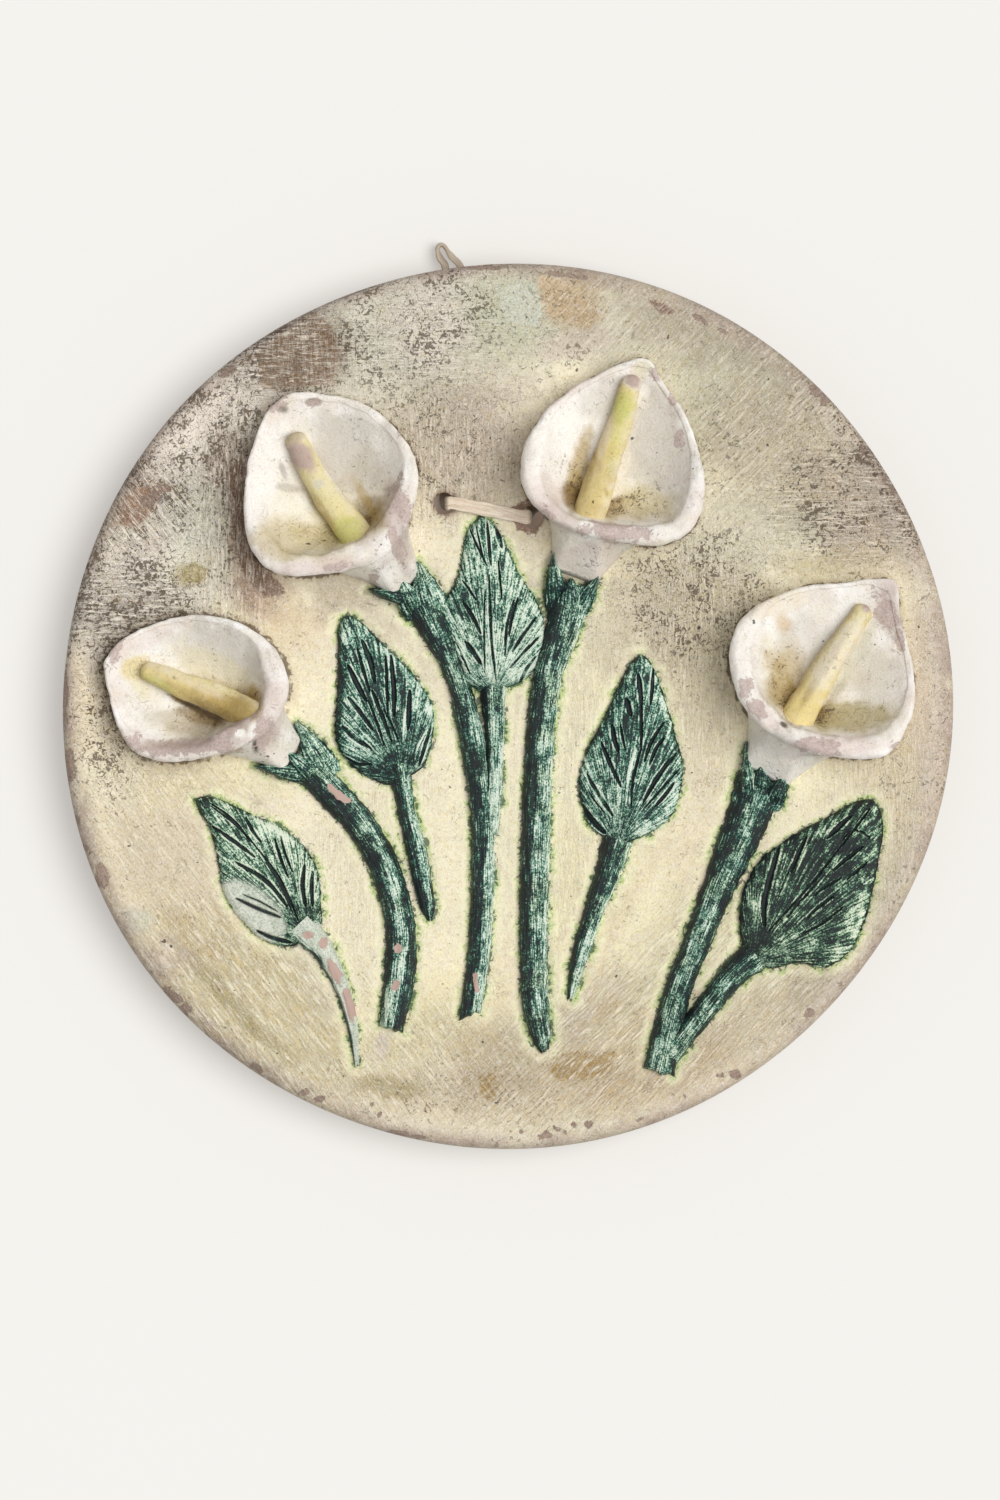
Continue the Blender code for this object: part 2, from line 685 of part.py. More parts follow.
def knot(name):
    """The tied end: a rounded knot with the lace's two cut tails."""
    centre = knot_centre()
    rings = []
    for k in range(1, 6):
        turn = math.pi * k / 6
        ring = []
        for i in range(12):
            angle = 2 * math.pi * i / 12
            ring.append(centre + Vector((
                KNOT_SIZE[0] / 2 * math.sin(turn) * math.cos(angle),
                KNOT_SIZE[1] / 2 * math.sin(turn) * math.sin(angle),
                KNOT_SIZE[2] / 2 * math.cos(turn),
            )))
        rings.append(ring)
    pole = Vector((0, 0, KNOT_SIZE[2] / 2))
    body = closed_skin(name, rings, first=centre + pole, last=centre - pole)
    tails = []
    for sideways in (-0.50, -0.12):
        root = centre + Vector((sideways * KNOT_SIZE[0] / 2, 0, 0))
        fall = Vector((sideways, 0.03, -1.0)).normalized() * TAIL_LENGTH
        lay = Vector((1, 0, 0))
        places = (root, root + 0.5 * fall, root + fall)
        tails.append(strip("tail", [(place, lay) for place in places]))
    return body, tails


def coloured(ob, name, colour, roughness):
    """Gives an object its own material."""
    material = bpy.data.materials.new(name)
    material.use_nodes = True
    shader = material.node_tree.nodes["Principled BSDF"]
    shader.inputs["Base Color"].default_value = (*colour, 1.0)
    shader.inputs["Roughness"].default_value = roughness
    shader.inputs["Metallic"].default_value = 0.0
    ob.data.materials.append(material)


def shown(ob):
    bpy.context.scene.collection.objects.link(ob)
    return ob


def kept_as_tool(ob, group):
    """Puts a shape that is joined to or cut from another into its group."""
    ob.hide_render = True
    ob.display_type = "WIRE"
    group.objects.link(ob)


def merged(ob, operation, group):
    """Joins a group of shapes to an object, or cuts them from it."""
    modifier = ob.modifiers.new(operation.lower(), "BOOLEAN")
    modifier.operation = operation
    modifier.solver = "EXACT"
    modifier.operand_type = "COLLECTION"
    modifier.collection = group


def tool_group(name):
    group = bpy.data.collections.new(name)
    bpy.context.scene.collection.children.link(group)
    return group


def build_plate():
    plate = shown(dish())
    coloured(plate, "painted_clay", (0.72, 0.67, 0.56), 0.75)
    relief = tool_group("relief")
    for key, given in FLOWERS.items():
        flower = measured(given)
        kept_as_tool(cup(f"petal_{key}", flower), relief)
        kept_as_tool(spadix(f"spadix_{key}", flower), relief)
    for key, given in LEAVES.items():
        base, tip = scaled(given["base"]), scaled(given["tip"])
        shape = leaf(
            f"leaf_{key}", base, tip, given["left"], given["right"], LEAF_RELIEF, veins=5
        )
        kept_as_tool(shape, relief)
    for key, stations in STEMS.items():
        kept_as_tool(stem(f"stem_{key}", stations), relief)
    for i, (root, tip, width) in enumerate(SEPALS):
        root, tip = scaled(root), scaled(tip)
        half = width * PLATE_RADIUS / 2 / (tip - root).length
        sides = tuple(half * share for share in (0.8, 0.95, 1.0, 0.9, 0.65, 0.35, 0.08))
        shape = leaf(f"sepal_{i + 1}", root, tip, sides, sides, SEPAL_RELIEF)
        kept_as_tool(shape, relief)
    holes = tool_group("holes")
    kept_as_tool(lace_hole("left_hole", LEFT_HOLE), holes)
    kept_as_tool(lace_hole("right_hole", RIGHT_HOLE), holes)
    merged(plate, "UNION", relief)
    merged(plate, "DIFFERENCE", holes)


def build_lace():
    hanging_lace = shown(lace("hanging_lace"))
    coloured(hanging_lace, "suede", (0.66, 0.56, 0.44), 0.9)
    body, tails = knot("lace_knot")
    shown(body)
    coloured(body, "knot_suede", (0.66, 0.56, 0.44), 0.9)
    ends = tool_group("tails")
    for tail in tails:
        kept_as_tool(tail, ends)
    merged(body, "UNION", ends)


build_plate()
build_lace()
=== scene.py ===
import math

import bmesh
import bpy
import numpy as np
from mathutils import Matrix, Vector
from mathutils.kdtree import KDTree


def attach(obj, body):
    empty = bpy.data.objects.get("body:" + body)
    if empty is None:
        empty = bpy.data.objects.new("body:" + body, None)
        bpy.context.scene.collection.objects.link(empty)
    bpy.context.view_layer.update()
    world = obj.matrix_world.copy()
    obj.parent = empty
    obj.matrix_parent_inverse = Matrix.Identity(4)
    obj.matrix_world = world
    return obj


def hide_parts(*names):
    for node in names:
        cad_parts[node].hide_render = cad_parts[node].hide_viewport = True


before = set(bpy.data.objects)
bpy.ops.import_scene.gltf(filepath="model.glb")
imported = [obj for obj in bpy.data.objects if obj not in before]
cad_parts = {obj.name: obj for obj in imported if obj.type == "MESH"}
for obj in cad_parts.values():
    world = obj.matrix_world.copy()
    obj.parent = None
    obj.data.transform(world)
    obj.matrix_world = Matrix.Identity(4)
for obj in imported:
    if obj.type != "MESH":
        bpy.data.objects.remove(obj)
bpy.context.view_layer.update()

# The plate's own sizes, as in the solids
PLATE_RADIUS = 0.140
CENTRE_THICKNESS = 0.010
DISH_DEPTH = 0.008
RIM_BAND = 0.0085
RIM_LIFT = 0.0012
RIM_ROUND = 0.0032
BACK_SLOPE = 0.11
EDGE_WOBBLE = 0.0007
HOLE_DIAMETER = 0.007
LEFT_HOLE = (-0.140, 0.457)
RIGHT_HOLE = (0.056, 0.427)
BED = 0.0025
LIP_THICKNESS = 0.0046
THROAT_LIP_HEIGHT = 0.022
TIP_LIP_HEIGHT = 0.0085
BOWL_FLOOR = 0.004
LIP_FADE = 0.6
THIN_LIP_SHARE = 0.4
SPADIX_BASE_DIAMETER = 0.0106
SPADIX_TIP_DIAMETER = 0.0062
LEAF_RELIEF = 0.0034
STEM_RELIEF = 0.0042
SEPAL_RELIEF = 0.0056
LACE_WIDTH = 0.0042
LACE_THICKNESS = 0.0014
LACE_GAP = 0.0003
LOOP_STANDS = 0.0069
KNOT_SIZE = (0.0088, 0.0046, 0.0074)
TAIL_LENGTH = 0.012
LOOP = (
    (0.67, -0.04), (0.30, 0.35), (0.06, 0.70), (-0.06, 0.855), (-0.19, 0.90),
    (-0.29, 0.84), (-0.35, 0.68), (-0.23, 0.29), (0.0, -0.09),
)
DISH_RADIUS = PLATE_RADIUS - RIM_BAND
HOLE_REACH = min(math.hypot(*LEFT_HOLE), math.hypot(*RIGHT_HOLE)) * PLATE_RADIUS
LACE_ROOM = LACE_THICKNESS + 3 * LACE_GAP
FOOT_RADIUS = HOLE_REACH - HOLE_DIAMETER / 2 - LACE_ROOM / BACK_SLOPE

# The photograph's frame, in pixels: the plate's middle, the frame's own middle, and how
# long the plate's radius is
MIDDLE = np.array((507.0, 706.0))
FRAME_MIDDLE = (500, 750)
RADIUS_IN_PIXELS = 443
PIXEL = PLATE_RADIUS / RADIUS_IN_PIXELS
FRAME_HEIGHT = 2 * FRAME_MIDDLE[1] * PIXEL

# The camera and the light
CAMERA_DISTANCE = 2.6
SENSOR_WIDTH = 36.0
STUDIO_WHITE = (1.0, 0.995, 0.985)

# How finely each form is divided
CUP_SECTORS = 216
CUP_STEPS = 4
SPADIX_RINGS = 90
SPADIX_SIDES = 40
LEAF_ROWS = 190
LEAF_COLUMNS = 120
STEM_STEP = 0.00038
STEM_COLUMNS = 34
SEPAL_ROWS = 44
SEPAL_COLUMNS = 22
DISH_SECTORS = 560
HOLE_SIDES = 40

# How tightly streaks follow each other along and across a strip, a stem, a leaf's veins
# and a sepal
LACE_STREAKS = (140, 1500)
STEM_STREAKS = (110, 1500)
LEAF_STREAKS = (42, 90)
SEPAL_STREAKS = (130, 1400)

# What the materials read where no edge, chip or patch is near
FAR = 9.0
NO_CHIP = -1.0
NO_PATCH = -3.0


def at(points):
    """Places given in the photograph's frame, in metres across and up the plate."""
    points = np.asarray(points, float)
    return (points - MIDDLE) * (PIXEL, -PIXEL)


def smooth(points, steps, closed=False):
    """Points read from a smooth curve through the given ones."""
    points = np.asarray(points, float)
    count = len(points)
    spans = count if closed else count - 1
    index = np.arange(spans)
    t = (np.arange(steps) / steps)[None, :, None]
    if closed:
        near = [points[(index + k) % count][:, None] for k in (-1, 0, 1, 2)]
    else:
        near = [points[np.clip(index + k, 0, count - 1)][:, None] for k in (-1, 0, 1, 2)]
    bend = 2 * near[0] - 5 * near[1] + 4 * near[2] - near[3]
    twist = 3 * near[1] - near[0] - 3 * near[2] + near[3]
    curve = near[1] + 0.5 * t * (near[2] - near[0] + t * (bend + t * twist))
    curve = curve.reshape(-1, points.shape[1])
    return curve if closed else np.vstack((curve, points[-1:]))


def travelled(curve):
    """How far along a curve each of its points lies."""
    steps = np.linalg.norm(np.diff(curve, axis=0), axis=1)
    return np.concatenate(([0], np.cumsum(steps)))


def evenly(curve, count):
    """A curve read again at places that lie evenly along it."""
    along = travelled(curve)
    wanted = np.linspace(0, along[-1], count)
    columns = [np.interp(wanted, along, curve[:, k]) for k in range(curve.shape[1])]
    return np.stack(columns, axis=1)


def whole_length(curve):
    return np.linalg.norm(np.diff(curve, axis=0), axis=1).sum()


def heading(curve):
    """The direction of a curve at each of its points."""
    ahead = np.gradient(curve, axis=0)
    return ahead / np.linalg.norm(ahead, axis=1)[:, None]


def around(count):
    """Angles that lie evenly round a circle."""
    return 2 * np.pi * np.arange(count) / count


def directions(angles):
    """A step of length 1 at each angle."""
    return np.stack((np.cos(angles), np.sin(angles)), axis=1)


def bearings(steps):
    """The angle at which each step leads away."""
    return np.arctan2(steps[:, 1], steps[:, 0])


def eased(low, high, value):
    """A share that grows from 0 at one value to 1 at another, with soft ends."""
    t = np.clip((value - low) / (high - low), 0, 1)
    return t * t * (3 - 2 * t)


def grain(places, size, seed):
    """Smooth noise from -1 to 1 over the plane, with grains of one size in metres."""
    cells = 64
    table = np.random.default_rng(seed).uniform(-1, 1, (cells, cells))
    q = places[..., :2] / size + 500.5
    cell = np.floor(q).astype(int)
    f = q - cell
    f = f * f * (3 - 2 * f)
    x, y = cell[..., 0] % cells, cell[..., 1] % cells
    right, up = (x + 1) % cells, (y + 1) % cells
    low = table[x, y] * (1 - f[..., 0]) + table[right, y] * f[..., 0]
    top = table[x, up] * (1 - f[..., 0]) + table[right, up] * f[..., 0]
    return low * (1 - f[..., 1]) + top * f[..., 1]


def grains(places, size, seed):
    """Noise with three sizes of grain on each other."""
    total = grain(places, size, seed) + 0.5 * grain(places, size / 2.1, seed + 1)
    return (total + 0.25 * grain(places, size / 4.3, seed + 2)) / 1.4


def front_depth(radius):
    share = np.minimum(radius / DISH_RADIUS, 1.0)
    return CENTRE_THICKNESS + DISH_DEPTH * share**2.2


def back_depth(radius):
    return np.maximum(0.0, radius - FOOT_RADIUS) * BACK_SLOPE


def on_face(places, height):
    """Points at a height over the dish's face."""
    radius = np.hypot(places[..., 0], places[..., 1])
    depth = -front_depth(radius) - height
    return np.stack((places[..., 0], depth, places[..., 1]), axis=-1)


def linear(rgb):
    """A colour given as 0 to 255, in the linear values that the shader takes."""
    value = np.asarray(rgb, float) / 255
    return np.where(value <= 0.04045, value / 12.92, ((value + 0.055) / 1.055) ** 2.4)


def colour(name):
    """A colour of the palette, for a node's input."""
    return (*linear(PALETTE[name]), 1.0)


def linked(name, data):
    """A new object with this data, in the scene."""
    ob = bpy.data.objects.new(name, data)
    bpy.context.scene.collection.objects.link(ob)
    return ob


def grid_mesh(name, points, closed=False, first=None, last=None, flip=False):
    """One mesh from rows of points, closed round each row where asked, with end points."""
    rows, columns = points.shape[:2]
    index = np.arange(rows * columns).reshape(rows, columns)
    after = np.roll(index, -1, axis=1) if closed else index[:, 1:]
    here = index if closed else index[:, :-1]
    quads = np.stack((here[:-1], after[:-1], after[1:], here[1:]), axis=-1).reshape(-1, 4)
    faces = quads.tolist()
    places = points.reshape(-1, 3).tolist()
    for pole, row in ((first, index[0]), (last, index[-1])):
        if pole is not None:
            places.append(list(pole))
            ring = np.roll(row, -1)
            tip = len(places) - 1
            order = (row.tolist(), ring.tolist())
            if row[0] == index[0][0]:
                order = order[::-1]
            faces += [[a, b, tip] for a, b in zip(*order)]
    if flip:
        faces = [face[::-1] for face in faces]
    mesh = bpy.data.meshes.new(name)
    mesh.from_pydata(places, [], faces)
    mesh.shade_smooth()
    mesh.update()
    return linked(name, mesh)


def corners(ob):
    """An object's points, one row each."""
    values = np.zeros(len(ob.data.vertices) * 3)
    ob.data.vertices.foreach_get("co", values)
    return values.reshape(-1, 3)


def give(ob, **layers):
    """Stores a number or a colour at each point under each name, for the material to read."""
    for name, values in layers.items():
        values = np.asarray(values, np.float32)
        if values.ndim == 0:
            values = np.full(len(ob.data.vertices), values)
        if values.ndim == 1:
            layer = ob.data.attributes.new(name, "FLOAT", "POINT")
            layer.data.foreach_set("value", values)
            continue
        if values.shape[1] == 3:
            values = np.concatenate((values, np.ones((len(values), 1), np.float32)), axis=1)
        layer = ob.data.attributes.new(name, "FLOAT_COLOR", "POINT")
        layer.data.foreach_set("color", values.ravel())


def edge_tree(lines):
    """A search tree over the points of some lines in the plate's plane."""
    points = np.vstack(lines)
    tree = KDTree(len(points))
    for index, (x, y) in enumerate(points):
        tree.insert((x, y, 0), index)
    tree.balance()
    return tree


def gaps(tree, places):
    """How far each place lies from the nearest point of a search tree."""
    return np.array([tree.find((x, y, 0))[2] for x, y in places])


def oval(places, x, y, wide, high, turn=0.0):
    """How far inside an oval patch each place lies: 1 at its middle and 0 at its edge."""
    away = places - at((x, y))
    c, s = math.cos(math.radians(turn)), math.sin(math.radians(turn))
    along = (away[:, 0] * c + away[:, 1] * s) / (wide * PIXEL)
    across = (away[:, 1] * c - away[:, 0] * s) / (high * PIXEL)
    return 1 - np.hypot(along, across)


def ground_of(name, places):
    """One colour of the palette for each place."""
    return np.tile(linear(PALETTE[name]), (len(places), 1))


def mixed(ground, name, share):
    """A ground moved towards a colour of the palette by a share at each place."""
    return ground + (linear(PALETTE[name]) - ground) * share[:, None]


def dabbed(places, ground, dabs, seed, edge=0.35):
    """Brushed patches of colour over a ground colour, with soft uneven edges; on the
    flowers some of them are painted light and painted shade.
    """
    uneven = 0.30 * grains(places, 0.005, seed) + 0.12 * grains(places, 0.0015, seed + 7)
    for *patch, name, strength in dabs:
        share = strength * eased(-edge, edge, oval(places, *patch) + uneven)
        ground = mixed(ground, name, share)
    return ground


def within(places, shape):
    """How far inside a closed shape each place lies, below 0 outside it."""
    nearest = np.full(len(places), 1.0)
    crossed = np.zeros(len(places), bool)
    for a, b in zip(shape, np.roll(shape, -1, axis=0)):
        side = b - a
        t = np.clip(((places - a) @ side) / (side @ side), 0, 1)
        nearest = np.minimum(nearest, np.linalg.norm(places - a - t[:, None] * side, axis=1))
        if side[1]:
            met = a[0] + (places[:, 1] - a[1]) / side[1] * side[0]
            between = (a[1] > places[:, 1]) != (b[1] > places[:, 1])
            crossed ^= between & (places[:, 0] < met)
    return np.where(crossed, nearest, -nearest)


def chipped(places, chips, seed):
    """How far inside a worn place each point lies, below 0 outside all of them."""
    deepest = np.full(len(places), NO_CHIP)
    uneven = 0.35 * grains(places, 0.0026, seed)
    for chip in chips:
        found = oval(places, *chip)
        found = np.clip(found, -1, 1) + uneven * (found > -1)
        deepest = np.maximum(deepest, found)
    return deepest


def to_strokes(places, strokes):
    """How deep each place lies in a carved stroke, 1 in its middle and 0 past its edge, and
    how high on a ridge: those pushed up beside the strokes, and strokes that are ridges."""
    groove = np.zeros(len(places))
    ridge = np.zeros(len(places))
    for x0, y0, x1, y1, x2, y2, wide in strokes:
        line = evenly(smooth(at([(x0, y0), (x1, y1), (x2, y2)]), 8), 17)
        reach_out = 3.2 * abs(wide) * PIXEL
        low, high = line.min(0) - reach_out, line.max(0) + reach_out
        close = np.flatnonzero(np.all((places > low) & (places < high), axis=1))
        if not len(close):
            continue
        p = places[close][:, None]
        a, b = line[:-1][None], line[1:][None]
        side = b - a
        t = np.clip(((p - a) * side).sum(-1) / (side * side).sum(-1), 0, 1)
        gap = np.linalg.norm(p - a - side * t[..., None], axis=-1)
        nearest = gap.argmin(axis=1)
        gap = gap[np.arange(len(close)), nearest] / PIXEL
        along = (nearest + t[np.arange(len(close)), nearest]) / 16
        half = abs(wide) / 2 * (0.35 + 0.65 * np.sqrt(np.clip(4 * along * (1 - along), 0, 1)))
        if wide > 0:
            dug = 1 - eased(0.55, 1.15, gap / half)
            raised = eased(0.9, 1.3, gap / half) * (1 - eased(1.5, 2.1, gap / half))
            groove[close] = np.maximum(groove[close], dug)
            ridge[close] = np.maximum(ridge[close], 0.75 * raised)
        else:
            ridge[close] = np.maximum(ridge[close], 1.25 * (1 - eased(0.5, 1.15, gap / half)))
    return groove, ridge * (1 - groove)


PALETTE = {
    "cream": (252, 244, 216), "straw": (244, 232, 188), "yellow": (254, 246, 204),
    "chalk": (236, 231, 219), "sage": (222, 219, 200), "green": (202, 205, 178),
    "rose": (222, 205, 190), "clay": (176, 152, 138), "brown": (192, 170, 150),
    "rust": (198, 168, 148), "tan": (220, 196, 160), "olive": (184, 170, 122),
    "grey": (150, 142, 130), "dark": (70, 62, 54), "stone": (198, 187, 166),
    "petal": (244, 238, 228), "white": (252, 248, 242), "shade": (206, 199, 188),
    "mauve": (190, 168, 160), "pink": (226, 208, 200), "ochre": (186, 160, 98),
    "umber": (138, 112, 66), "lemon": (234, 224, 176), "spadix": (234, 214, 148),
    "mint": (220, 223, 206), "chip": (158, 132, 116), "lime": (206, 204, 118),
    "haze": (206, 206, 204), "sand": (236, 222, 194), "bronze": (214, 188, 138),
    "mushroom": (176, 160, 144), "blush": (244, 234, 222),
    "milk": (255, 253, 250), "rosy": (232, 216, 204), "pale_stroke": (240, 231, 216),
    "pale_mottle": (252, 246, 234), "wash": (104, 88, 72), "seam_shade": (92, 74, 58),
    "pale_edge": (255, 249, 212), "green_edge": (190, 210, 136), "leaf_shadow": (60, 84, 70),
    "dish_clay_dark": (158, 134, 118), "dish_clay_pale": (188, 168, 154),
    "cup_clay_dark": (180, 158, 150), "cup_clay_pale": (208, 190, 183),
    "washed_pale": (230, 232, 216), "washed_grey": (202, 208, 192),
    "washed_dark": (96, 112, 100), "green_chip": (196, 168, 156),
    "suede_dark": (206, 186, 160), "suede_pale": (248, 238, 220),
    "suede_rosy": (222, 196, 178), "suede_nap": (168, 142, 112), "suede_shade": (104, 92, 68),
    "worn_rim": (180, 161, 149), "lit_rim": (244, 236, 222), "back_clay": (176, 150, 134),
    "hole_edge": (140, 108, 88), "hole_wall": (150, 122, 106),
}
# What paint is multiplied with where it darkens, in linear values
GLAZES = {
    "warm": (1.0, 0.95, 0.78, 1.0), "stroke": (0.60, 0.48, 0.34, 1.0),
    "mottle": (0.80, 0.69, 0.52, 1.0), "grain": (0.70, 0.62, 0.51, 1.0),
    "stain_and_shade": (0.52, 0.43, 0.33, 1.0),
}
DOT_COLOUR = (0.035, 0.03, 0.025, 1.0)
# Greens from the grooves to the raised grain: a value and its colour
COOL_GREENS = ((0.14, (20, 29, 33)), (0.34, (22, 58, 54)), (0.48, (34, 102, 80)),
               (0.62, (100, 154, 132)), (0.80, (166, 200, 180)), (1.0, (228, 238, 224)))
OLIVE_GREENS = ((0.14, (24, 30, 28)), (0.34, (42, 60, 46)), (0.48, (76, 106, 70)),
                (0.62, (128, 150, 108)), (0.80, (182, 196, 152)), (1.0, (228, 232, 198)))
# How strongly the painted clay shows each effect on the dish and on the cups
DISH_LOOK = {"warm": 0.60, "rosy": 0.40, "grain": 0.36, "bump": 0.9,
             "clays": ("dish_clay_dark", "dish_clay_pale")}
CUP_LOOK = {"warm": 0.36, "rosy": 0.22, "grain": 0.30, "bump": 0.65,
            "clays": ("cup_clay_dark", "cup_clay_pale")}
# The strokes of the brush: their angles, and how they are drawn out
BRUSH_ANGLES = (0, -52, 45, 90)
BRUSH_STRETCH = (150.0, 1.0, 1100.0)


def set_camera():
    """The camera, at the photograph's angle."""
    data = bpy.data.cameras.new("camera")
    data.sensor_width = SENSOR_WIDTH
    data.lens = SENSOR_WIDTH * CAMERA_DISTANCE / FRAME_HEIGHT
    data.clip_end = 50.0
    ob = linked("camera", data)
    x, z = at(FRAME_MIDDLE)
    ob.location = (x, -CAMERA_DISTANCE - front_depth(0.0), z)
    ob.rotation_euler = (math.radians(90), 0, 0)
    bpy.context.scene.camera = ob
    bpy.context.scene.view_settings.view_transform = "Standard"


def sun(name, direction, strength, spread, tint):
    """A wide soft light that comes from one direction."""
    data = bpy.data.lights.new(name, "SUN")
    data.energy = strength
    data.angle = math.radians(spread)
    data.color = tint
    ob = linked(name, data)
    ob.rotation_mode = "QUATERNION"
    ob.rotation_quaternion = Vector(direction).to_track_quat("Z", "Y")


def sky(tint, strength):
    """An even light from all sides."""
    world = bpy.data.worlds.new("studio")
    world.use_nodes = True
    bpy.context.scene.world = world
    backing = world.node_tree.nodes["Background"]
    backing.inputs["Color"].default_value = (*tint, 1.0)
    backing.inputs["Strength"].default_value = strength


set_camera()
sun("key", (0.52, -1.0, 0.03), 2.2, 42, STUDIO_WHITE)
sun("fill_behind", (-0.15, 1.0, 0.15), 0.9, 60, (1.0, 1.0, 1.0))
sky(STUDIO_WHITE, 0.45)


def feed(tree, socket, value):
    """Puts a value or a link on an input."""
    if isinstance(value, bpy.types.NodeSocket):
        tree.links.new(value, socket)
    else:
        socket.default_value = value


def node(tree, kind, inputs=None, **settings):
    """One node, with values or links on its inputs."""
    made = tree.nodes.new(kind)
    for key, value in settings.items():
        setattr(made, key, value)
    for key, value in (inputs or {}).items():
        feed(tree, made.inputs[key], value)
    return made


def maths(tree, operation, a, b):
    return node(tree, "ShaderNodeMath", {0: a, 1: b}, operation=operation).outputs[0]


def plus(tree, a, b):
    return maths(tree, "ADD", a, b)


def minus(tree, a, b):
    return maths(tree, "SUBTRACT", a, b)


def times(tree, a, b):
    return maths(tree, "MULTIPLY", a, b)


def blended(tree, share, a, b, blend="MIX"):
    inputs = {0: share, 6: a, 7: b}
    made = node(tree, "ShaderNodeMix", inputs, data_type="RGBA", blend_type=blend)
    return made.outputs[2]


def coated(tree, share, tint, name):
    """A colour of the palette laid over a tint."""
    return blended(tree, share, tint, colour(name))


def glazed(tree, share, tint, name):
    """A tint darkened by a glaze."""
    return blended(tree, share, tint, GLAZES[name], "MULTIPLY")


def read(tree, name, output="Fac"):
    return node(tree, "ShaderNodeAttribute", attribute_name=name).outputs[output]


def noise(tree, vector, scale, detail=2.0, rough=0.5, warp=0.0):
    inputs = {"Vector": vector, "Scale": scale, "Detail": detail, "Roughness": rough,
              "Distortion": warp}
    return node(tree, "ShaderNodeTexNoise", inputs).outputs["Fac"]


def span(tree, value, low, high, to_low=0.0, to_high=1.0):
    """A value moved from one range to another, eased, and kept inside it."""
    inputs = {"Value": value, "From Min": low, "From Max": high, "To Min": to_low,
              "To Max": to_high}
    made = node(tree, "ShaderNodeMapRange", inputs, interpolation_type="SMOOTHSTEP")
    return made.outputs["Result"]


def turned(tree, vector, angle, stretch):
    """Coordinates turned in the plate's plane and stretched, for strokes of a brush."""
    turn = {"Vector": vector, "Rotation": (0.0, math.radians(angle), 0.0)}
    turn = node(tree, "ShaderNodeMapping", turn, vector_type="POINT").outputs[0]
    drawn = {"Vector": turn, "Scale": stretch}
    return node(tree, "ShaderNodeMapping", drawn, vector_type="POINT").outputs[0]


def ramp(tree, value, stops):
    """Colours that follow each other as a value grows."""
    made = node(tree, "ShaderNodeValToRGB", {0: value})
    elements = made.color_ramp.elements
    while len(elements) < len(stops):
        elements.new(0.5)
    for element, (position, rgb) in zip(elements, stops):
        element.position = position
        element.color = (*linear(rgb), 1.0)
    return made.outputs[0]


def material(name):
    """A new material, its tree, its shader and its places."""
    made = bpy.data.materials.new(name)
    made.use_nodes = True
    tree = made.node_tree
    place = node(tree, "ShaderNodeTexCoord").outputs["Object"]
    return made, tree, tree.nodes["Principled BSDF"], place


def surface(tree, shader, inputs, height, strength, depth):
    """Feeds a shader, with a bump of a strength and a depth from a height."""
    bump = node(tree, "ShaderNodeBump", {
        "Strength": strength, "Distance": depth, "Height": height})
    for key, value in {**inputs, "Normal": bump.outputs[0]}.items():
        feed(tree, shader.inputs[key], value)


def marks(tree, place, scale, warp, thin, thick):
    """Short worm-like lines, 1 in their middle."""
    wavy = noise(tree, place, scale, 2.0, 0.55, warp)
    away = maths(tree, "ABSOLUTE", minus(tree, wavy, 0.5), 0.0)
    return span(tree, away, thick, thin)


def brushed(tree, place):
    """Strokes of a brush that ran four ways, each as strong as its weight at the point:
    above 0 in a pale stroke and below 0 in a dark one."""
    ways = node(tree, "ShaderNodeAttribute", attribute_name="ways")
    split = node(tree, "ShaderNodeSeparateColor", {0: ways.outputs["Color"]})
    weights = (*(split.outputs[k] for k in range(3)), ways.outputs["Alpha"])
    strokes = None
    for weight, angle in zip(weights, BRUSH_ANGLES):
        line = noise(tree, turned(tree, place, angle, BRUSH_STRETCH), 1.0, 5.0, 0.72, 0.9)
        part = times(tree, span(tree, line, 0.40, 0.60, -1.0, 1.0), weight)
        strokes = part if strokes is None else plus(tree, strokes, part)
    return strokes


def patched(tree, tint, scumble, strokes):
    """Brushed patches with crisp edges over the ground's tint, and where they lie."""
    edge = plus(tree, span(tree, scumble, 0.3, 0.7, -0.5, 0.5), times(tree, strokes, 0.45))
    whole = span(tree, plus(tree, read(tree, "patch"), edge), -0.05, 0.15)
    return blended(tree, whole, tint, read(tree, "patch_paint", "Color")), whole


def stroked(tree, place, tint, strokes, whole):
    """The strokes and a finer mottle laid over the dish's tint."""
    weight = span(tree, whole, 0.0, 1.0, 0.52, 0.85)
    tint = glazed(tree, times(tree, span(tree, strokes, 0.0, -1.0), weight), tint, "stroke")
    lighter = times(tree, span(tree, strokes, 0.0, 1.0), weight)
    tint = coated(tree, lighter, tint, "pale_stroke")
    mottle = noise(tree, place, 900.0, 5.0, 0.75, 1.6)
    tint = glazed(tree, span(tree, mottle, 0.50, 0.36, 0.0, 0.55), tint, "mottle")
    return coated(tree, span(tree, mottle, 0.52, 0.64, 0.0, 0.50), tint, "pale_mottle")


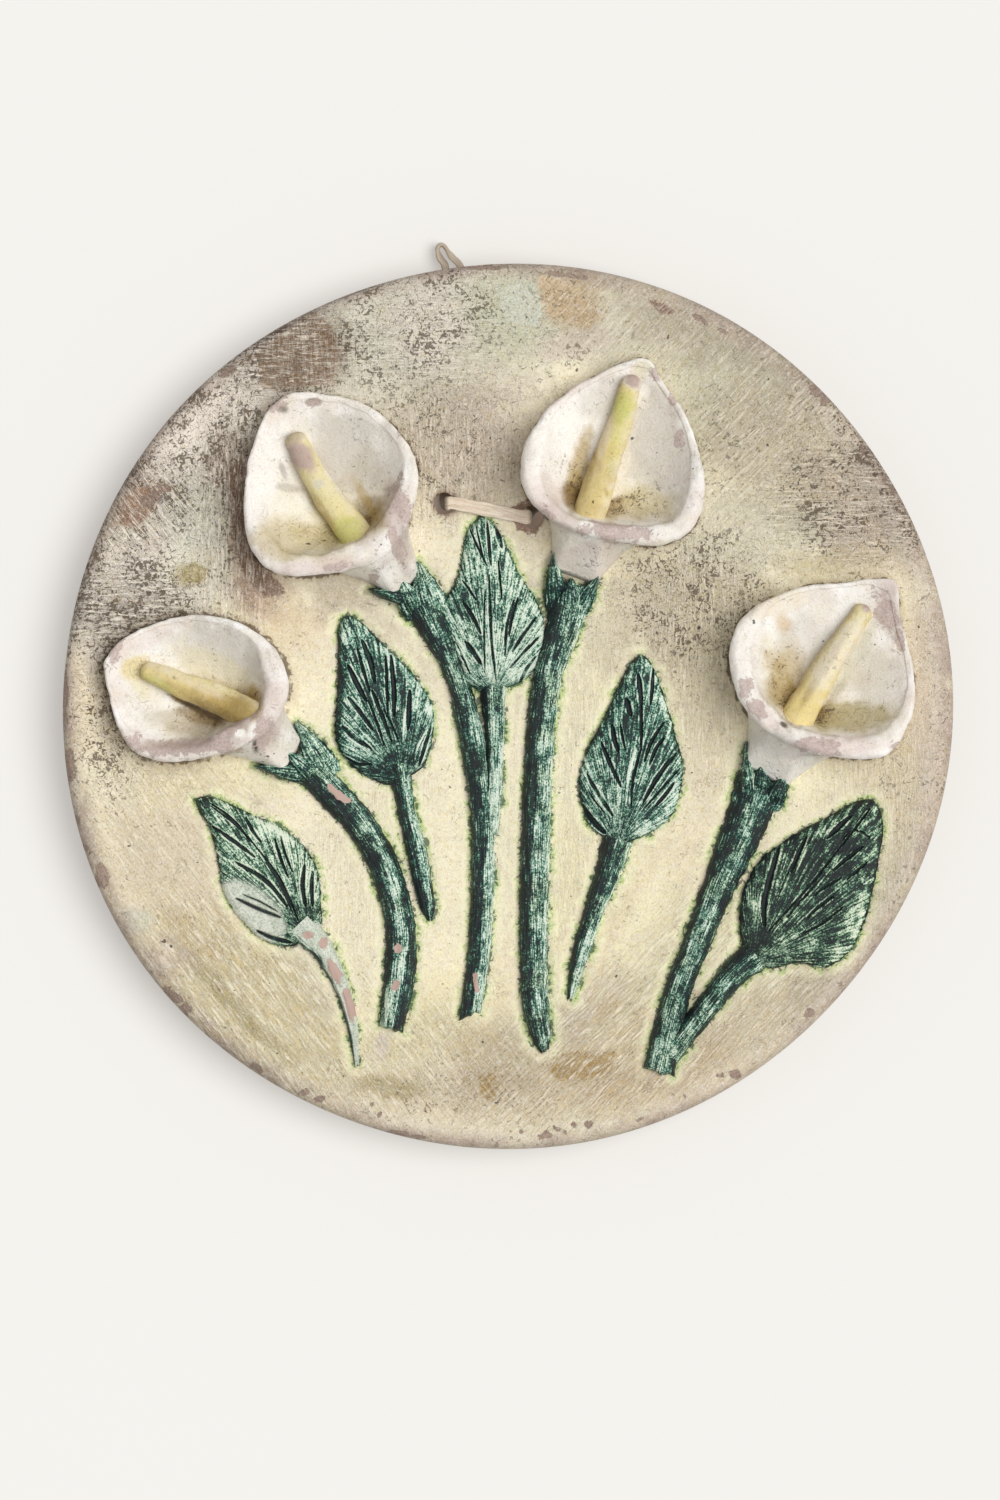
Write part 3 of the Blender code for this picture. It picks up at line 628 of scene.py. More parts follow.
def washed(tree, place, tint, strokes, whole):
    """Dark wash left in the grain and in thin lines, more of it where the point says so,
    and where that wash lies."""
    speck = read(tree, "speck")
    recess = noise(tree, place, 640.0, 5.0, 0.66, 1.2)
    cluster = noise(tree, place, 100.0, 2.0, 0.5)
    low = minus(tree, recess, times(tree, speck, 0.15))
    low = plus(tree, low, span(tree, cluster, 0.3, 0.7, -0.06, 0.06))
    strength = span(tree, speck, 0.0, 0.8, 0.30, 0.86)
    if strokes is not None:
        low = plus(tree, low, times(tree, strokes, 0.09))
        strength = times(tree, strength, span(tree, whole, 0.0, 1.0, 1.0, 0.45))
    shown = span(tree, plus(tree, cluster, times(tree, speck, 0.30)), 0.60, 0.72)
    lines = times(tree, marks(tree, place, 230.0, 2.6, 0.003, 0.010), shown)
    wash = maths(tree, "MAXIMUM", span(tree, low, 0.318, 0.290), lines)
    return coated(tree, times(tree, wash, strength), tint, "wash"), wash


def stained_and_shaded(tree, tint, scumble, patchy):
    """A brown ring of grime and painted shadow round each cup's foot, with painted shade in a
    dark line in the corner against the cup.
    """
    foot = plus(tree, read(tree, "beside"), span(tree, scumble, 0.3, 0.7, -0.7, 0.7))
    stain_and_shade = times(tree, span(tree, foot, 3.6, 0.2, 0.0, 0.42), span(tree, patchy, 0.36, 0.60))
    # painted shade in the corner against the cup
    seam_shade = times(tree, span(tree, foot, 0.9, 0.35, 0.0, 0.78), span(tree, patchy, 0.34, 0.50))
    return coated(tree, seam_shade, glazed(tree, stain_and_shade, tint, "stain_and_shade"), "seam_shade")


def edged(tree, tint, scumble, patchy):
    """A pale and a green edge of paint round the greenery, and its shadow against it."""
    ragged = plus(tree, read(tree, "near"), span(tree, scumble, 0.3, 0.7, -1.3, 1.3))
    broken = span(tree, patchy, 0.38, 0.60)
    pale = times(tree, span(tree, ragged, 4.6, 1.6, 0.0, 0.75), broken)
    green = times(tree, span(tree, ragged, 1.9, 0.6, 0.0, 0.85), broken)
    tint = coated(tree, green, coated(tree, pale, tint, "pale_edge"), "green_edge")
    return coated(tree, span(tree, ragged, 0.35, 0.10, 0.0, 0.80), tint, "leaf_shadow")


def bared(tree, tint, scumble, patchy, fine, clays):
    """Bare clay where the paint has gone, and how bare each place is."""
    edge = plus(tree, read(tree, "chip"), span(tree, patchy, 0.3, 0.7, -0.25, 0.25))
    edge = plus(tree, edge, span(tree, scumble, 0.35, 0.65, -0.35, 0.35))
    bare = times(tree, span(tree, edge, 0.0, 0.12), read(tree, "wear"))
    clay = blended(tree, span(tree, fine, 0.3, 0.7), *(colour(name) for name in clays))
    return blended(tree, bare, tint, clay), bare


def painted_clay(name, look, on_dish):
    """Matt paint brushed over rough fired clay, with dark wash left in the grain and bare
    clay where the paint has gone. On the dish there are also brushed patches with crisp
    edges, strokes that run four ways, stains with painted shade round the cups' feet, and a
    paler edge left round the greenery with a painted shadow against it."""
    made, tree, shader, place = material(name)
    tint = read(tree, "paint", "Color")
    fine = noise(tree, place, 1500.0, 3.0, 0.65)
    patchy = noise(tree, place, 150.0, 3.0, 0.6)
    scumble = noise(tree, place, 380.0, 6.0, 0.72, 0.8)
    strokes, whole = None, None
    if on_dish:
        strokes = brushed(tree, place)
        tint, whole = patched(tree, tint, scumble, strokes)
    tint = glazed(tree, span(tree, scumble, 0.46, 0.34, 0.0, look["warm"]), tint, "warm")
    tint = coated(tree, span(tree, scumble, 0.53, 0.64, 0.0, look["rosy"]), tint, "rosy")
    if on_dish:
        tint = stroked(tree, place, tint, strokes, whole)
    tint, wash = washed(tree, place, tint, strokes, whole)
    dots = span(tree, noise(tree, place, 420.0, 1.0), 0.775, 0.790)
    tint = blended(tree, times(tree, dots, 0.8), tint, DOT_COLOUR)
    tint = glazed(tree, span(tree, fine, 0.52, 0.34, 0.0, look["grain"]), tint, "grain")
    if on_dish:
        tint = stained_and_shaded(tree, tint, scumble, patchy)
        tint = edged(tree, tint, scumble, patchy)
    tint, bare = bared(tree, tint, scumble, patchy, fine, look["clays"])
    height = plus(tree, times(tree, scumble, 1.2), times(tree, fine, 0.7))
    height = minus(tree, height, times(tree, wash, 0.5))
    height = minus(tree, height, times(tree, bare, 0.5))
    if on_dish:
        height = plus(tree, height, times(tree, strokes, 0.45))
    rough = span(tree, patchy, 0.3, 0.7, 0.62, 0.86)
    inputs = {"Base Color": tint, "Roughness": rough, "Specular IOR Level": 0.25}
    surface(tree, shader, inputs, height, look["bump"], 0.0005)
    return made


def painted_green():
    """Dark green paint with paler greens dragged over its raised grain."""
    made, tree, shader, place = material("painted_green")
    grainy = noise(tree, place, 1700.0, 3.0, 0.7)
    lumps = noise(tree, place, 360.0, 3.0, 0.6)
    along = noise(tree, read(tree, "strand", "Color"), 1.0, 4.0, 0.7)
    level = plus(tree, read(tree, "tone"), span(tree, grainy, 0.25, 0.75, -0.46, 0.46))
    level = plus(tree, level, span(tree, lumps, 0.28, 0.72, -0.24, 0.22))
    level = plus(tree, level, span(tree, along, 0.30, 0.70, -0.54, 0.50))
    cool, olive = (ramp(tree, level, greens) for greens in (COOL_GREENS, OLIVE_GREENS))
    tint = blended(tree, read(tree, "warm"), cool, olive)
    pale = blended(tree, span(tree, lumps, 0.3, 0.7), colour("washed_pale"),
                   colour("washed_grey"))
    pale = coated(tree, span(tree, grainy, 0.55, 0.30, 0.0, 0.6), pale, "washed_dark")
    tint = blended(tree, read(tree, "pale"), tint, pale)
    edge = plus(tree, read(tree, "chip"), span(tree, lumps, 0.3, 0.7, -0.2, 0.2))
    bare = span(tree, edge, 0.02, 0.10)
    tint = coated(tree, bare, tint, "green_chip")
    height = plus(tree, grainy, times(tree, along, 1.6))
    height = minus(tree, height, times(tree, bare, 0.6))
    rough = span(tree, level, 0.2, 0.8, 0.45, 0.75)
    inputs = {"Base Color": tint, "Roughness": rough, "Specular IOR Level": 0.35}
    surface(tree, shader, inputs, height, 0.7, 0.0003)
    return made


def suede():
    """Undyed suede with a short nap, streaked along its length and darkened by the value
    stored at each point: painted shade in the holes and behind the dish, and a darker loop."""
    made, tree, shader, place = material("suede")
    streak = noise(tree, read(tree, "strand", "Color"), 1.0, 4.0, 0.7)
    nap = noise(tree, place, 2600.0, 3.0, 0.7)
    cloud = noise(tree, place, 130.0, 2.0)
    tint = blended(tree, span(tree, streak, 0.30, 0.66), colour("suede_dark"),
                   colour("suede_pale"))
    tint = coated(tree, span(tree, cloud, 0.4, 0.7, 0.0, 0.4), tint, "suede_rosy")
    tint = coated(tree, span(tree, nap, 0.55, 0.3, 0.0, 0.30), tint, "suede_nap")
    tint = coated(tree, read(tree, "shade"), tint, "suede_shade")
    height = plus(tree, nap, times(tree, streak, 1.4))
    inputs = {"Base Color": tint, "Roughness": 0.92, "Specular IOR Level": 0.2,
              "Sheen Weight": 0.25}
    surface(tree, shader, inputs, height, 0.6, 0.0002)
    return made


DISH_PAINT = painted_clay("painted_dish", DISH_LOOK, True)
PETAL_PAINT = painted_clay("painted_petals", CUP_LOOK, False)
GREEN_PAINT = painted_green()
SUEDE = suede()


def placed(ob, finish, slot, *nodes):
    """Gives a piece its material, hides the solid's parts that it stands for, and lets it
    ride on the root. The slot it is given is not used.
    """
    ob.data.materials.append(finish)
    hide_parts(*nodes)
    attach(ob, "root")
    return ob


# The lace, through the same places as its solid
def knot_centre():
    left, right = np.array(LEFT_HOLE) * PLATE_RADIUS, np.array(RIGHT_HOLE) * PLATE_RADIUS
    rise = 0.42 * (PLATE_RADIUS - left[1])
    sideways = 0.2 * left[0] + 0.3 * right[0]
    return np.array((sideways, -KNOT_SIZE[1] / 2 - LACE_GAP, left[1] + rise))


def lace_route():
    """The lace from the knot over the loop, down and through both holes to the knot."""
    left, right = np.array(LEFT_HOLE) * PLATE_RADIUS, np.array(RIGHT_HOLE) * PLATE_RADIUS
    off_wall = -(LACE_GAP + LACE_THICKNESS / 2)
    on_edge = -(2 * LACE_GAP + LACE_WIDTH / 2)
    face_left = -front_depth(math.hypot(*left)) - LACE_GAP - LACE_THICKNESS / 2
    face_right = -front_depth(math.hypot(*right)) - LACE_GAP - LACE_THICKNESS / 2
    inside = -front_depth(math.hypot(*left)) / 2 - 3 * LACE_GAP
    bore = HOLE_DIAMETER / 2
    depth, width, flat = (0, 1, 0), (0, 0, 1), (1, 0, 0)
    lean, turn = (0.45, 0.89, 0), (1, 0, 1)
    knot = knot_centre()
    end = KNOT_SIZE[2] / 2 + 2 * LACE_GAP
    slack = (PLATE_RADIUS - left[1]) / 5
    places = [
        (knot + (-LACE_WIDTH / 4, 0, end), flat),
        ((left[0] + 0.70 * slack, off_wall, PLATE_RADIUS - 1.3 * slack), flat),
        ((left[0] + 0.42 * slack, on_edge, PLATE_RADIUS - 0.35 * slack), lean),
    ]
    for i, (sideways, up) in enumerate(LOOP):
        place = (left[0] + sideways * LOOP_STANDS, on_edge, PLATE_RADIUS + up * LOOP_STANDS)
        places.append((place, depth if 1 < i < 7 else lean))
    places += [
        ((left[0], on_edge, PLATE_RADIUS - 0.35 * slack), lean),
        ((left[0], off_wall, PLATE_RADIUS - 1.6 * slack), flat),
        ((left[0], off_wall, left[1] + 1.3 * slack), flat),
        ((left[0], off_wall, left[1] + 1.5 * bore), flat),
        ((left[0], off_wall - 0.3 * bore, left[1] + 0.35 * bore), turn),
        ((left[0] + 0.1 * bore, inside, left[1]), width),
        ((left[0] + 0.3 * bore, face_left + 0.35 * bore, left[1]), width),
        ((left[0] + 0.85 * bore, face_left, left[1]), width),
        ((0.5 * (left[0] + right[0]), face_left, 0.5 * (left[1] + right[1])), width),
        ((right[0] - 0.85 * bore, face_right, right[1]), width),
        ((right[0] - 0.3 * bore, face_right + 0.35 * bore, right[1]), width),
        ((right[0] - 0.1 * bore, inside, right[1]), width),
        ((right[0], off_wall - 0.3 * bore, right[1] + 0.35 * bore), turn),
        ((right[0], off_wall, right[1] + 1.5 * bore), flat),
        ((right[0] - 1.4 * bore, off_wall, right[1] + 4.9 * bore), flat),
        (knot + (LACE_WIDTH * 0.86, 0, -end), flat),
    ]
    return places


def strip(name, places, widths, wide, thick, sides=20, taper=1.0):
    """A flat strip with rounded edges along a line, ends closed."""
    ahead = heading(places)
    side = widths - ahead * (widths * ahead).sum(1)[:, None]
    side /= np.linalg.norm(side, axis=1)[:, None]
    flat = np.cross(ahead, side)
    c, s = np.cos(around(sides)), np.sin(around(sides))
    across = np.sign(c) * np.abs(c) ** 0.55 * wide / 2
    rise = np.sign(s) * np.abs(s) ** 0.75 * thick / 2
    length = travelled(places)
    crimp = 1 + 0.05 * np.sin(length * 900) + 0.04 * np.sin(length * 410 + 1)
    size = crimp * taper
    rings = places[:, None] + side[:, None] * (across[None, :, None] * size[:, None, None])
    rings = rings + flat[:, None] * rise[None, :, None]
    ob = grid_mesh(name, rings, closed=True, first=places[0], last=places[-1])
    strand = np.zeros((len(places), sides, 3))
    strand[..., 0] = length[:, None] * LACE_STREAKS[0]
    strand[..., 1] = across[None] * LACE_STREAKS[1]
    strand[..., 2] = rise[None] * LACE_STREAKS[1]
    give(ob, strand=np.concatenate((strand.reshape(-1, 3), np.zeros((2, 3)))))
    return ob


def shade_of_lace(places):
    """How dark the lace is: most in the holes and behind the dish, where it is painted shade,
    and less in its loop.
    """
    depth, up = places[:, 1], places[:, 2]
    deep = eased(-0.012, -0.007, depth) * eased(0.135, 0.128, up)
    return np.maximum(0.7 * deep, 0.42 * eased(0.132, 0.136, up))


route = lace_route()
lace_line = smooth([place for place, _ in route], 12)
lace_wide = smooth([wide for _, wide in route], 12)
lace = strip("suede_lace", lace_line, lace_wide, LACE_WIDTH, LACE_THICKNESS)
give(lace, shade=shade_of_lace(corners(lace)))
placed(lace, SUEDE, "suede", "hanging_lace")


WRAP_WIDTH = 0.0040
WRAP_THICKNESS = 0.0018
KNOT_SIDES = 12


def knot_wrap(centre, lean, size, shift):
    """One turn of the lace round the knot, leaning to one side."""
    count = 64
    turns = np.linspace(0, 2 * np.pi, count)
    ring = np.stack((
        np.cos(turns) * (KNOT_SIZE[0] - LACE_THICKNESS * 2.4) / 2 * size,
        np.sin(2 * turns + lean) * 0.0002 - shift * 0.3,
        np.sin(turns) * (KNOT_SIZE[2] - LACE_THICKNESS * 2.4) / 2 * size,
    ), axis=1)
    c, s = math.cos(lean), math.sin(lean)
    spun = ring.copy()
    spun[:, 0] = ring[:, 0] * c - ring[:, 2] * s
    spun[:, 2] = ring[:, 0] * s + ring[:, 2] * c
    wide = np.tile((0.0, 1.0, 0.0), (count, 1)) + 0.25 * spun / np.abs(spun).max()
    return strip("wrap", centre + spun, wide, WRAP_WIDTH, WRAP_THICKNESS, KNOT_SIDES)


def knot_tail(centre, sideways):
    """One cut end of the lace, hanging out of the knot."""
    count = 24
    root = centre + (sideways * KNOT_SIZE[0] / 2, 0, 0)
    fall = np.array((sideways, 0.03, -1.0))
    fall *= TAIL_LENGTH / np.linalg.norm(fall)
    share = np.linspace(0, 1, count)[:, None]
    line = root + fall * share + np.array((0.0006, 0, 0)) * np.sin(share * 5)
    wide = np.tile((1.0, 0.0, 0.0), (count, 1))
    end = 1 - 0.25 * eased(0.75, 1.0, share[:, 0])
    return strip("tail", line, wide, LACE_WIDTH, LACE_THICKNESS, KNOT_SIDES, end)


def knot():
    """The two ends tied over each other, with cut tails, as one piece."""
    centre = knot_centre()
    parts = [knot_wrap(centre, 0.5, 0.92, 0.0), knot_wrap(centre, -0.5, 0.80, 0.0006)]
    parts += [knot_tail(centre, sideways) for sideways in (-0.50, -0.12)]
    joined = bmesh.new()
    for part in parts:
        joined.from_mesh(part.data)
        bpy.data.objects.remove(part)
    mesh = bpy.data.meshes.new("suede_knot")
    joined.to_mesh(mesh)
    joined.free()
    ob = linked("suede_knot", mesh)
    # painted shade: the knot sits in the gap behind the plate
    give(ob, shade=0.15)
    return placed(ob, SUEDE, "suede", "lace_knot")


tied = knot()

# Each flower, as in the solids: shares of the plate's radius
FLOWERS = {
    "upper_left": {
        "centre": (-0.405, 0.487),
        "outline": (
            (-0.508, 0.693), (-0.350, 0.688), (-0.266, 0.641), (-0.208, 0.562),
            (-0.200, 0.487), (-0.230, 0.390), (-0.290, 0.325), (-0.400, 0.295),
            (-0.500, 0.292), (-0.560, 0.330), (-0.590, 0.410), (-0.578, 0.560),
        ),
        "tip": (-0.508, 0.693),
        "bowl": (
            (-0.272, 0.424), (-0.262, 0.500), (-0.290, 0.585), (-0.370, 0.650),
            (-0.490, 0.645), (-0.538, 0.540), (-0.548, 0.430), (-0.500, 0.345),
            (-0.400, 0.340), (-0.325, 0.375),
        ),
        "throat": (-0.345, 0.410),
        "neck": (-0.215, 0.265),
        "neck_width": 0.080,
        "roll": (-0.26, 0.40, 0.80),
        "spadix": ((-0.340, 0.385), (-0.420, 0.497), (-0.483, 0.612)),
    },
    "upper_right": {
        "centre": (0.240, 0.560),
        "outline": (
            (0.305, 0.782), (0.345, 0.735), (0.405, 0.640), (0.441, 0.520),
            (0.425, 0.410), (0.345, 0.360), (0.235, 0.370), (0.140, 0.395),
            (0.050, 0.460), (0.034, 0.560), (0.095, 0.670), (0.205, 0.745),
        ),
        "tip": (0.305, 0.782),
        "bowl": (
            (0.160, 0.418), (0.090, 0.470), (0.078, 0.560), (0.130, 0.655),
            (0.225, 0.715), (0.308, 0.725), (0.365, 0.630), (0.400, 0.520),
            (0.375, 0.420), (0.270, 0.402),
        ),
        "throat": (0.205, 0.455),
        "neck": (0.148, 0.285),
        "neck_width": 0.105,
        "roll": (0.0, 0.18, 0.62),
        "spadix": ((0.190, 0.440), (0.240, 0.595), (0.287, 0.742)),
    },
    "left": {
        "centre": (-0.695, 0.035),
        "outline": (
            (-0.898, 0.110), (-0.840, 0.165), (-0.720, 0.203), (-0.600, 0.185),
            (-0.510, 0.115), (-0.492, 0.025), (-0.530, -0.055), (-0.610, -0.098),
            (-0.735, -0.126), (-0.835, -0.105), (-0.882, -0.030), (-0.900, 0.060),
        ),
        "tip": (-0.900, 0.085),
        "bowl": (
            (-0.552, -0.010), (-0.540, 0.055), (-0.590, 0.130), (-0.700, 0.170),
            (-0.820, 0.135), (-0.862, 0.065), (-0.845, -0.030), (-0.780, -0.085),
            (-0.690, -0.085), (-0.610, -0.045),
        ),
        "throat": (-0.640, 0.005),
        "neck": (-0.470, -0.120),
        "neck_width": 0.085,
        "roll": (-0.79, 0.30, 0.70),
        "spadix": ((-0.590, -0.015), (-0.708, 0.038), (-0.822, 0.083)),
    },
    "right": {
        "centre": (0.700, 0.065),
        "outline": (
            (0.868, 0.280), (0.885, 0.190), (0.914, 0.070), (0.905, -0.030),
            (0.850, -0.108), (0.750, -0.118), (0.640, -0.090), (0.545, -0.025),
            (0.498, 0.090), (0.530, 0.200), (0.650, 0.264), (0.770, 0.278),
        ),
        "tip": (0.868, 0.280),
        "bowl": (
            (0.622, -0.040), (0.560, 0.040), (0.548, 0.120), (0.590, 0.200),
            (0.690, 0.238), (0.800, 0.245), (0.855, 0.140), (0.868, 0.030),
            (0.830, -0.060), (0.720, -0.068),
        ),
        "throat": (0.668, 0.010),
        "neck": (0.575, -0.165),
        "neck_width": 0.110,
        "roll": (0.0, 0.18, 0.62),
        "spadix": ((0.655, -0.020), (0.730, 0.104), (0.808, 0.225)),
    },
}

# Patches of colour and worn places on each flower. Each is an oval in the photograph's
# frame: its middle, half its width and height, its turn, and its colour and strength.
# Some ovals on the cups and rods are painted light and painted shade, as marked below.
PETAL_DABS_AND_SHADING = {
    "upper_left": (
        # Painted shade: the shade oval on the right wall, turned from the light. Painted light: the
        # white oval on the left wall, which faces it, and painted highlights at 390, 455, 376, 420
        # and 401, 478.
        (350, 452, 44, 44, -40, "shade", 0.80), (262, 500, 14, 70, 0, "white", 0.6),
        (360, 520, 28, 24, 0, "ochre", 0.45), (310, 548, 50, 18, -8, "ochre", 0.35),
        (372, 516, 16, 20, 0, "umber", 0.45), (285, 540, 26, 22, 0, "ochre", 0.30),
        (318, 508, 4, 26, 34, "umber", 0.45), (366, 500, 5, 26, 30, "ochre", 0.6),
        (398, 525, 9, 44, 12, "mauve", 0.60), (320, 568, 48, 7, 6, "pink", 0.6),
        (284, 472, 3, 10, 20, "grey", 0.55), (291, 489, 13, 4, -12, "grey", 0.45),
        (273, 406, 26, 7, 14, "sand", 0.4), (352, 480, 10, 34, -30, "stone", 0.35),
        (314, 404, 8, 3.5, 0, "grey", 0.9), (283, 410, 7, 4.5, -24, "grey", 0.95),
        (390, 455, 12, 30, 30, "white", 0.5), (355, 583, 26, 5, -10, "grey", 0.35),
        (330, 520, 12, 36, 32, "lemon", 0.35), (376, 420, 9, 5, -30, "white", 0.9),
        (401, 478, 5, 9, 0, "white", 0.8), (300, 530, 36, 30, -20, "lemon", 0.3),
    ),
    "upper_right": (
        # Painted light: the white oval on the left wall, which faces the light. Painted shade: the
        # shade ovals on the right wall and at 600, 400.
        (556, 445, 22, 60, -12, "white", 0.9), (662, 450, 30, 62, 12, "shade", 0.70),
        (578, 474, 9, 40, -14, "ochre", 0.75), (573, 500, 10, 16, 20, "umber", 0.85),
        (640, 505, 34, 16, 0, "ochre", 0.15), (650, 515, 18, 8, 0, "umber", 0.15),
        (545, 500, 16, 22, 40, "pink", 0.6), (560, 520, 26, 9, -30, "mauve", 0.4),
        (595, 568, 44, 22, -15, "rose", 0.45), (575, 385, 60, 8, 36, "pink", 0.5),
        (640, 372, 10, 8, 0, "lemon", 0.45), (646, 500, 26, 14, -20, "lemon", 0.35),
        (600, 400, 26, 16, 30, "shade", 0.4), (640, 560, 28, 8, 30, "lime", 0.25),
    ),
    "left": (
        # Painted shade: the shade oval on the upper wall, the ochre and umber ovals at 252, 703
        # deep in the throat by the rod's end, and the umber and dark lines from 189, 704 to 203,
        # 716 under the rod, which stand for its shadow on the petal.
        (215, 655, 48, 26, -24, "shade", 0.45), (190, 722, 46, 12, -8, "stone", 0.65),
        (252, 703, 13, 16, 0, "ochre", 0.95), (256, 706, 10, 12, 0, "umber", 0.6),
        (138, 668, 14, 11, 20, "spadix", 0.75), (142, 684, 7, 16, 20, "lemon", 0.45),
        (200, 716, 26, 6, -14, "umber", 0.5), (196, 744, 56, 7, 3, "clay", 0.5),
        (240, 728, 26, 6, 34, "clay", 0.4), (230, 722, 20, 9, -20, "umber", 0.35),
        (189, 704, 20, 3.4, -27, "umber", 0.95), (203, 712, 22, 3.4, -27, "dark", 0.85),
        (214, 668, 40, 14, -24, "lemon", 0.35), (242, 733, 5, 4, 0, "white", 0.95),
        (275, 700, 14, 36, 0, "pink", 0.35), (150, 640, 30, 8, 30, "pink", 0.4),
        (225, 690, 30, 8, -22, "ochre", 0.35),
        (257, 746, 3, 7, 0, "dark", 0.95), (269, 733, 11, 17, 0, "mauve", 0.5),
        (202, 716, 22, 7, -16, "umber", 0.4),
    ),
    "right": (
        # Painted shade: the stone oval on the right wall and the shade oval at 800, 640 beside the
        # rod. Painted light: the white oval on the left wall, which faces the light.
        (876, 690, 28, 48, 0, "stone", 0.45), (800, 640, 26, 28, 30, "shade", 0.45),
        (745, 650, 14, 50, 0, "white", 0.7), (786, 680, 16, 32, -16, "ochre", 0.55),
        (846, 716, 42, 17, 0, "olive", 0.75), (815, 713, 10, 10, 0, "umber", 0.6),
        (782, 623, 9, 9, 30, "tan", 0.7), (775, 605, 36, 12, 24, "sand", 0.5),
        (845, 745, 50, 9, 0, "pink", 0.6), (760, 715, 24, 9, -40, "pink", 0.5),
        (775, 745, 30, 12, -10, "haze", 0.4), (850, 665, 8, 40, -28, "green", 0.3),
        (890, 615, 14, 30, 12, "mauve", 0.45), (781, 725, 4, 2.5, -40, "dark", 0.9),
        (800, 700, 6, 40, -30, "umber", 0.35), (832, 698, 5, 24, -36, "umber", 0.30),
    ),
}
PETAL_CHIPS = {
    "upper_left": (
        (279, 406, 9, 7, 20), (314, 404, 9, 5, 0), (402, 505, 8, 26, 8),
        (396, 545, 6, 22, 24), (374, 580, 5, 8, 0), (338, 568, 20, 4, 10),
    ),
    "upper_right": (
        (615, 534, 34, 9, -8), (632, 381, 1, 1, 0), (653, 376, 6, 10, 10),
        (671, 401, 4, 7, 0), (678, 439, 5, 9, 0), (545, 515, 10, 4, -30),
    ),
    "left": (
        (117, 655, 8, 15, -14), (190, 748, 52, 8, 2), (236, 728, 26, 5, 40),
        (267, 733, 9, 15, 0), (128, 745, 14, 7, 30),
    ),
    "right": (
        (743, 689, 9, 10, 0), (755, 708, 12, 7, -40), (817, 747, 22, 8, -8),
        (884, 612, 12, 30, 22), (896, 640, 6, 12, 10), (893, 745, 8, 3, 20),
    ),
}
SPADIX_DABS_AND_SHADING = {
    "upper_left": (
        (325, 490, 40, 70, 30, "lemon", 0.5), (303, 458, 11, 21, 28, "mauve", 0.95),
        (320, 486, 6, 5, 20, "haze", 0.5),
        (296, 436, 10, 9, 0, "mushroom", 0.55), (292, 431, 4, 4, 0, "blush", 0.9),
        (346, 533, 16, 16, 30, "lime", 0.7),
        # Painted highlight: the white strip at 332, 470 along the rod's lit side.
        (332, 470, 6, 40, 30, "white", 0.55), (324, 512, 4, 24, 30, "ochre", 0.45),
    ),
    "upper_right": (
        (634, 380, 12, 13, 0, "blush", 0.8), (632, 382, 6, 8, 0, "mauve", 0.95),
        (622, 408, 11, 17, -14, "lime", 0.80), (592, 512, 18, 10, 0, "ochre", 0.35),
        (596, 462, 2.5, 10, 20, "umber", 0.45), (604, 440, 5, 28, -14, "sand", 0.7),
        (616, 440, 7, 40, -14, "lime", 0.30), (598, 480, 14, 34, -14, "ochre", 0.35),
        (590, 470, 3, 26, -14, "umber", 0.35), (606, 494, 2, 6, 20, "umber", 0.5),
    ),
    "left": (
        # Painted shade: the ochre and umber strips at 205, 702 and 222, 712 along the rod's lower
        # side. Painted highlights: the lemon and sand strips at 192, 676 and 190, 681 along its
        # top.
        (145, 668, 18, 12, -30, "ochre", 0.25), (200, 690, 50, 9, -22, "ochre", 0.28),
        (240, 712, 28, 13, -26, "ochre", 0.95), (205, 702, 46, 5, -28, "ochre", 0.60),
        (222, 712, 26, 4, -26, "umber", 0.40), (192, 676, 40, 3, -26, "lemon", 0.60),
        (200, 690, 8, 3, -10, "umber", 0.25), (176, 678, 1.6, 1.6, 0, "dark", 0.9),
        (190, 681, 40, 4, -26, "sand", 0.45),
        (160, 683, 20, 4, -30, "lime", 0.5),
    ),
    "right": (
        (868, 602, 10, 9, 0, "lemon", 0.7), (864, 608, 5, 6, 0, "mauve", 0.95),
        (797, 712, 18, 14, 0, "spadix", 0.9), (823, 668, 4, 50, -32, "umber", 0.5),
        (838, 650, 11, 46, -32, "petal", 0.5), (830, 640, 5, 40, -32, "stone", 0.35),
    ),
}


def reach(outline, centre, angles):
    """How far the outline lies from the centre in each direction."""
    d = directions(angles)[:, None]
    gap = (outline - centre)[None]
    side = (np.roll(outline, -1, axis=0) - outline)[None]
    across = d[..., 0] * side[..., 1] - d[..., 1] * side[..., 0]
    across = np.where(np.abs(across) < 1e-12, 1e-12, across)
    along = (gap[..., 0] * side[..., 1] - gap[..., 1] * side[..., 0]) / across
    share = (gap[..., 0] * d[..., 1] - gap[..., 1] * d[..., 0]) / across
    met = (along > 0) & (share >= -1e-9) & (share <= 1 + 1e-9)
    return np.where(met, along, 0).max(axis=1)


def hull(points):
    """The convex outline around some points."""
    ordered = sorted(map(tuple, points))
    outline = []
    for sweep in (ordered, ordered[::-1]):
        side = []
        for p in sweep:
            while len(side) > 1:
                a = (side[-1][0] - side[-2][0], side[-1][1] - side[-2][1])
                b = (p[0] - side[-1][0], p[1] - side[-1][1])
                if a[0] * b[1] - a[1] * b[0] > 0:
                    break
                side.pop()
            side.append(p)
        outline += side[:-1]
    return np.array(outline)


def throat_side(flower, angles, turned=0.0):
    """A share from 0 towards the petal's tip to 1 towards its throat."""
    side = flower["tip"] - flower["centre"]
    return (1 - np.cos(angles - turned - math.atan2(side[1], side[0]))) / 2


def lip_height(flower, angles):
    share = eased(0.0, 1.0, throat_side(flower, angles))
    return TIP_LIP_HEIGHT + (THROAT_LIP_HEIGHT - TIP_LIP_HEIGHT) * share


def lip_roll(flower, angles):
    """How much of a rolled lip the edge has: none at the tip, all of it at the throat."""
    turned, start, whole = flower["roll"]
    return eased(start, whole, throat_side(flower, angles, turned))


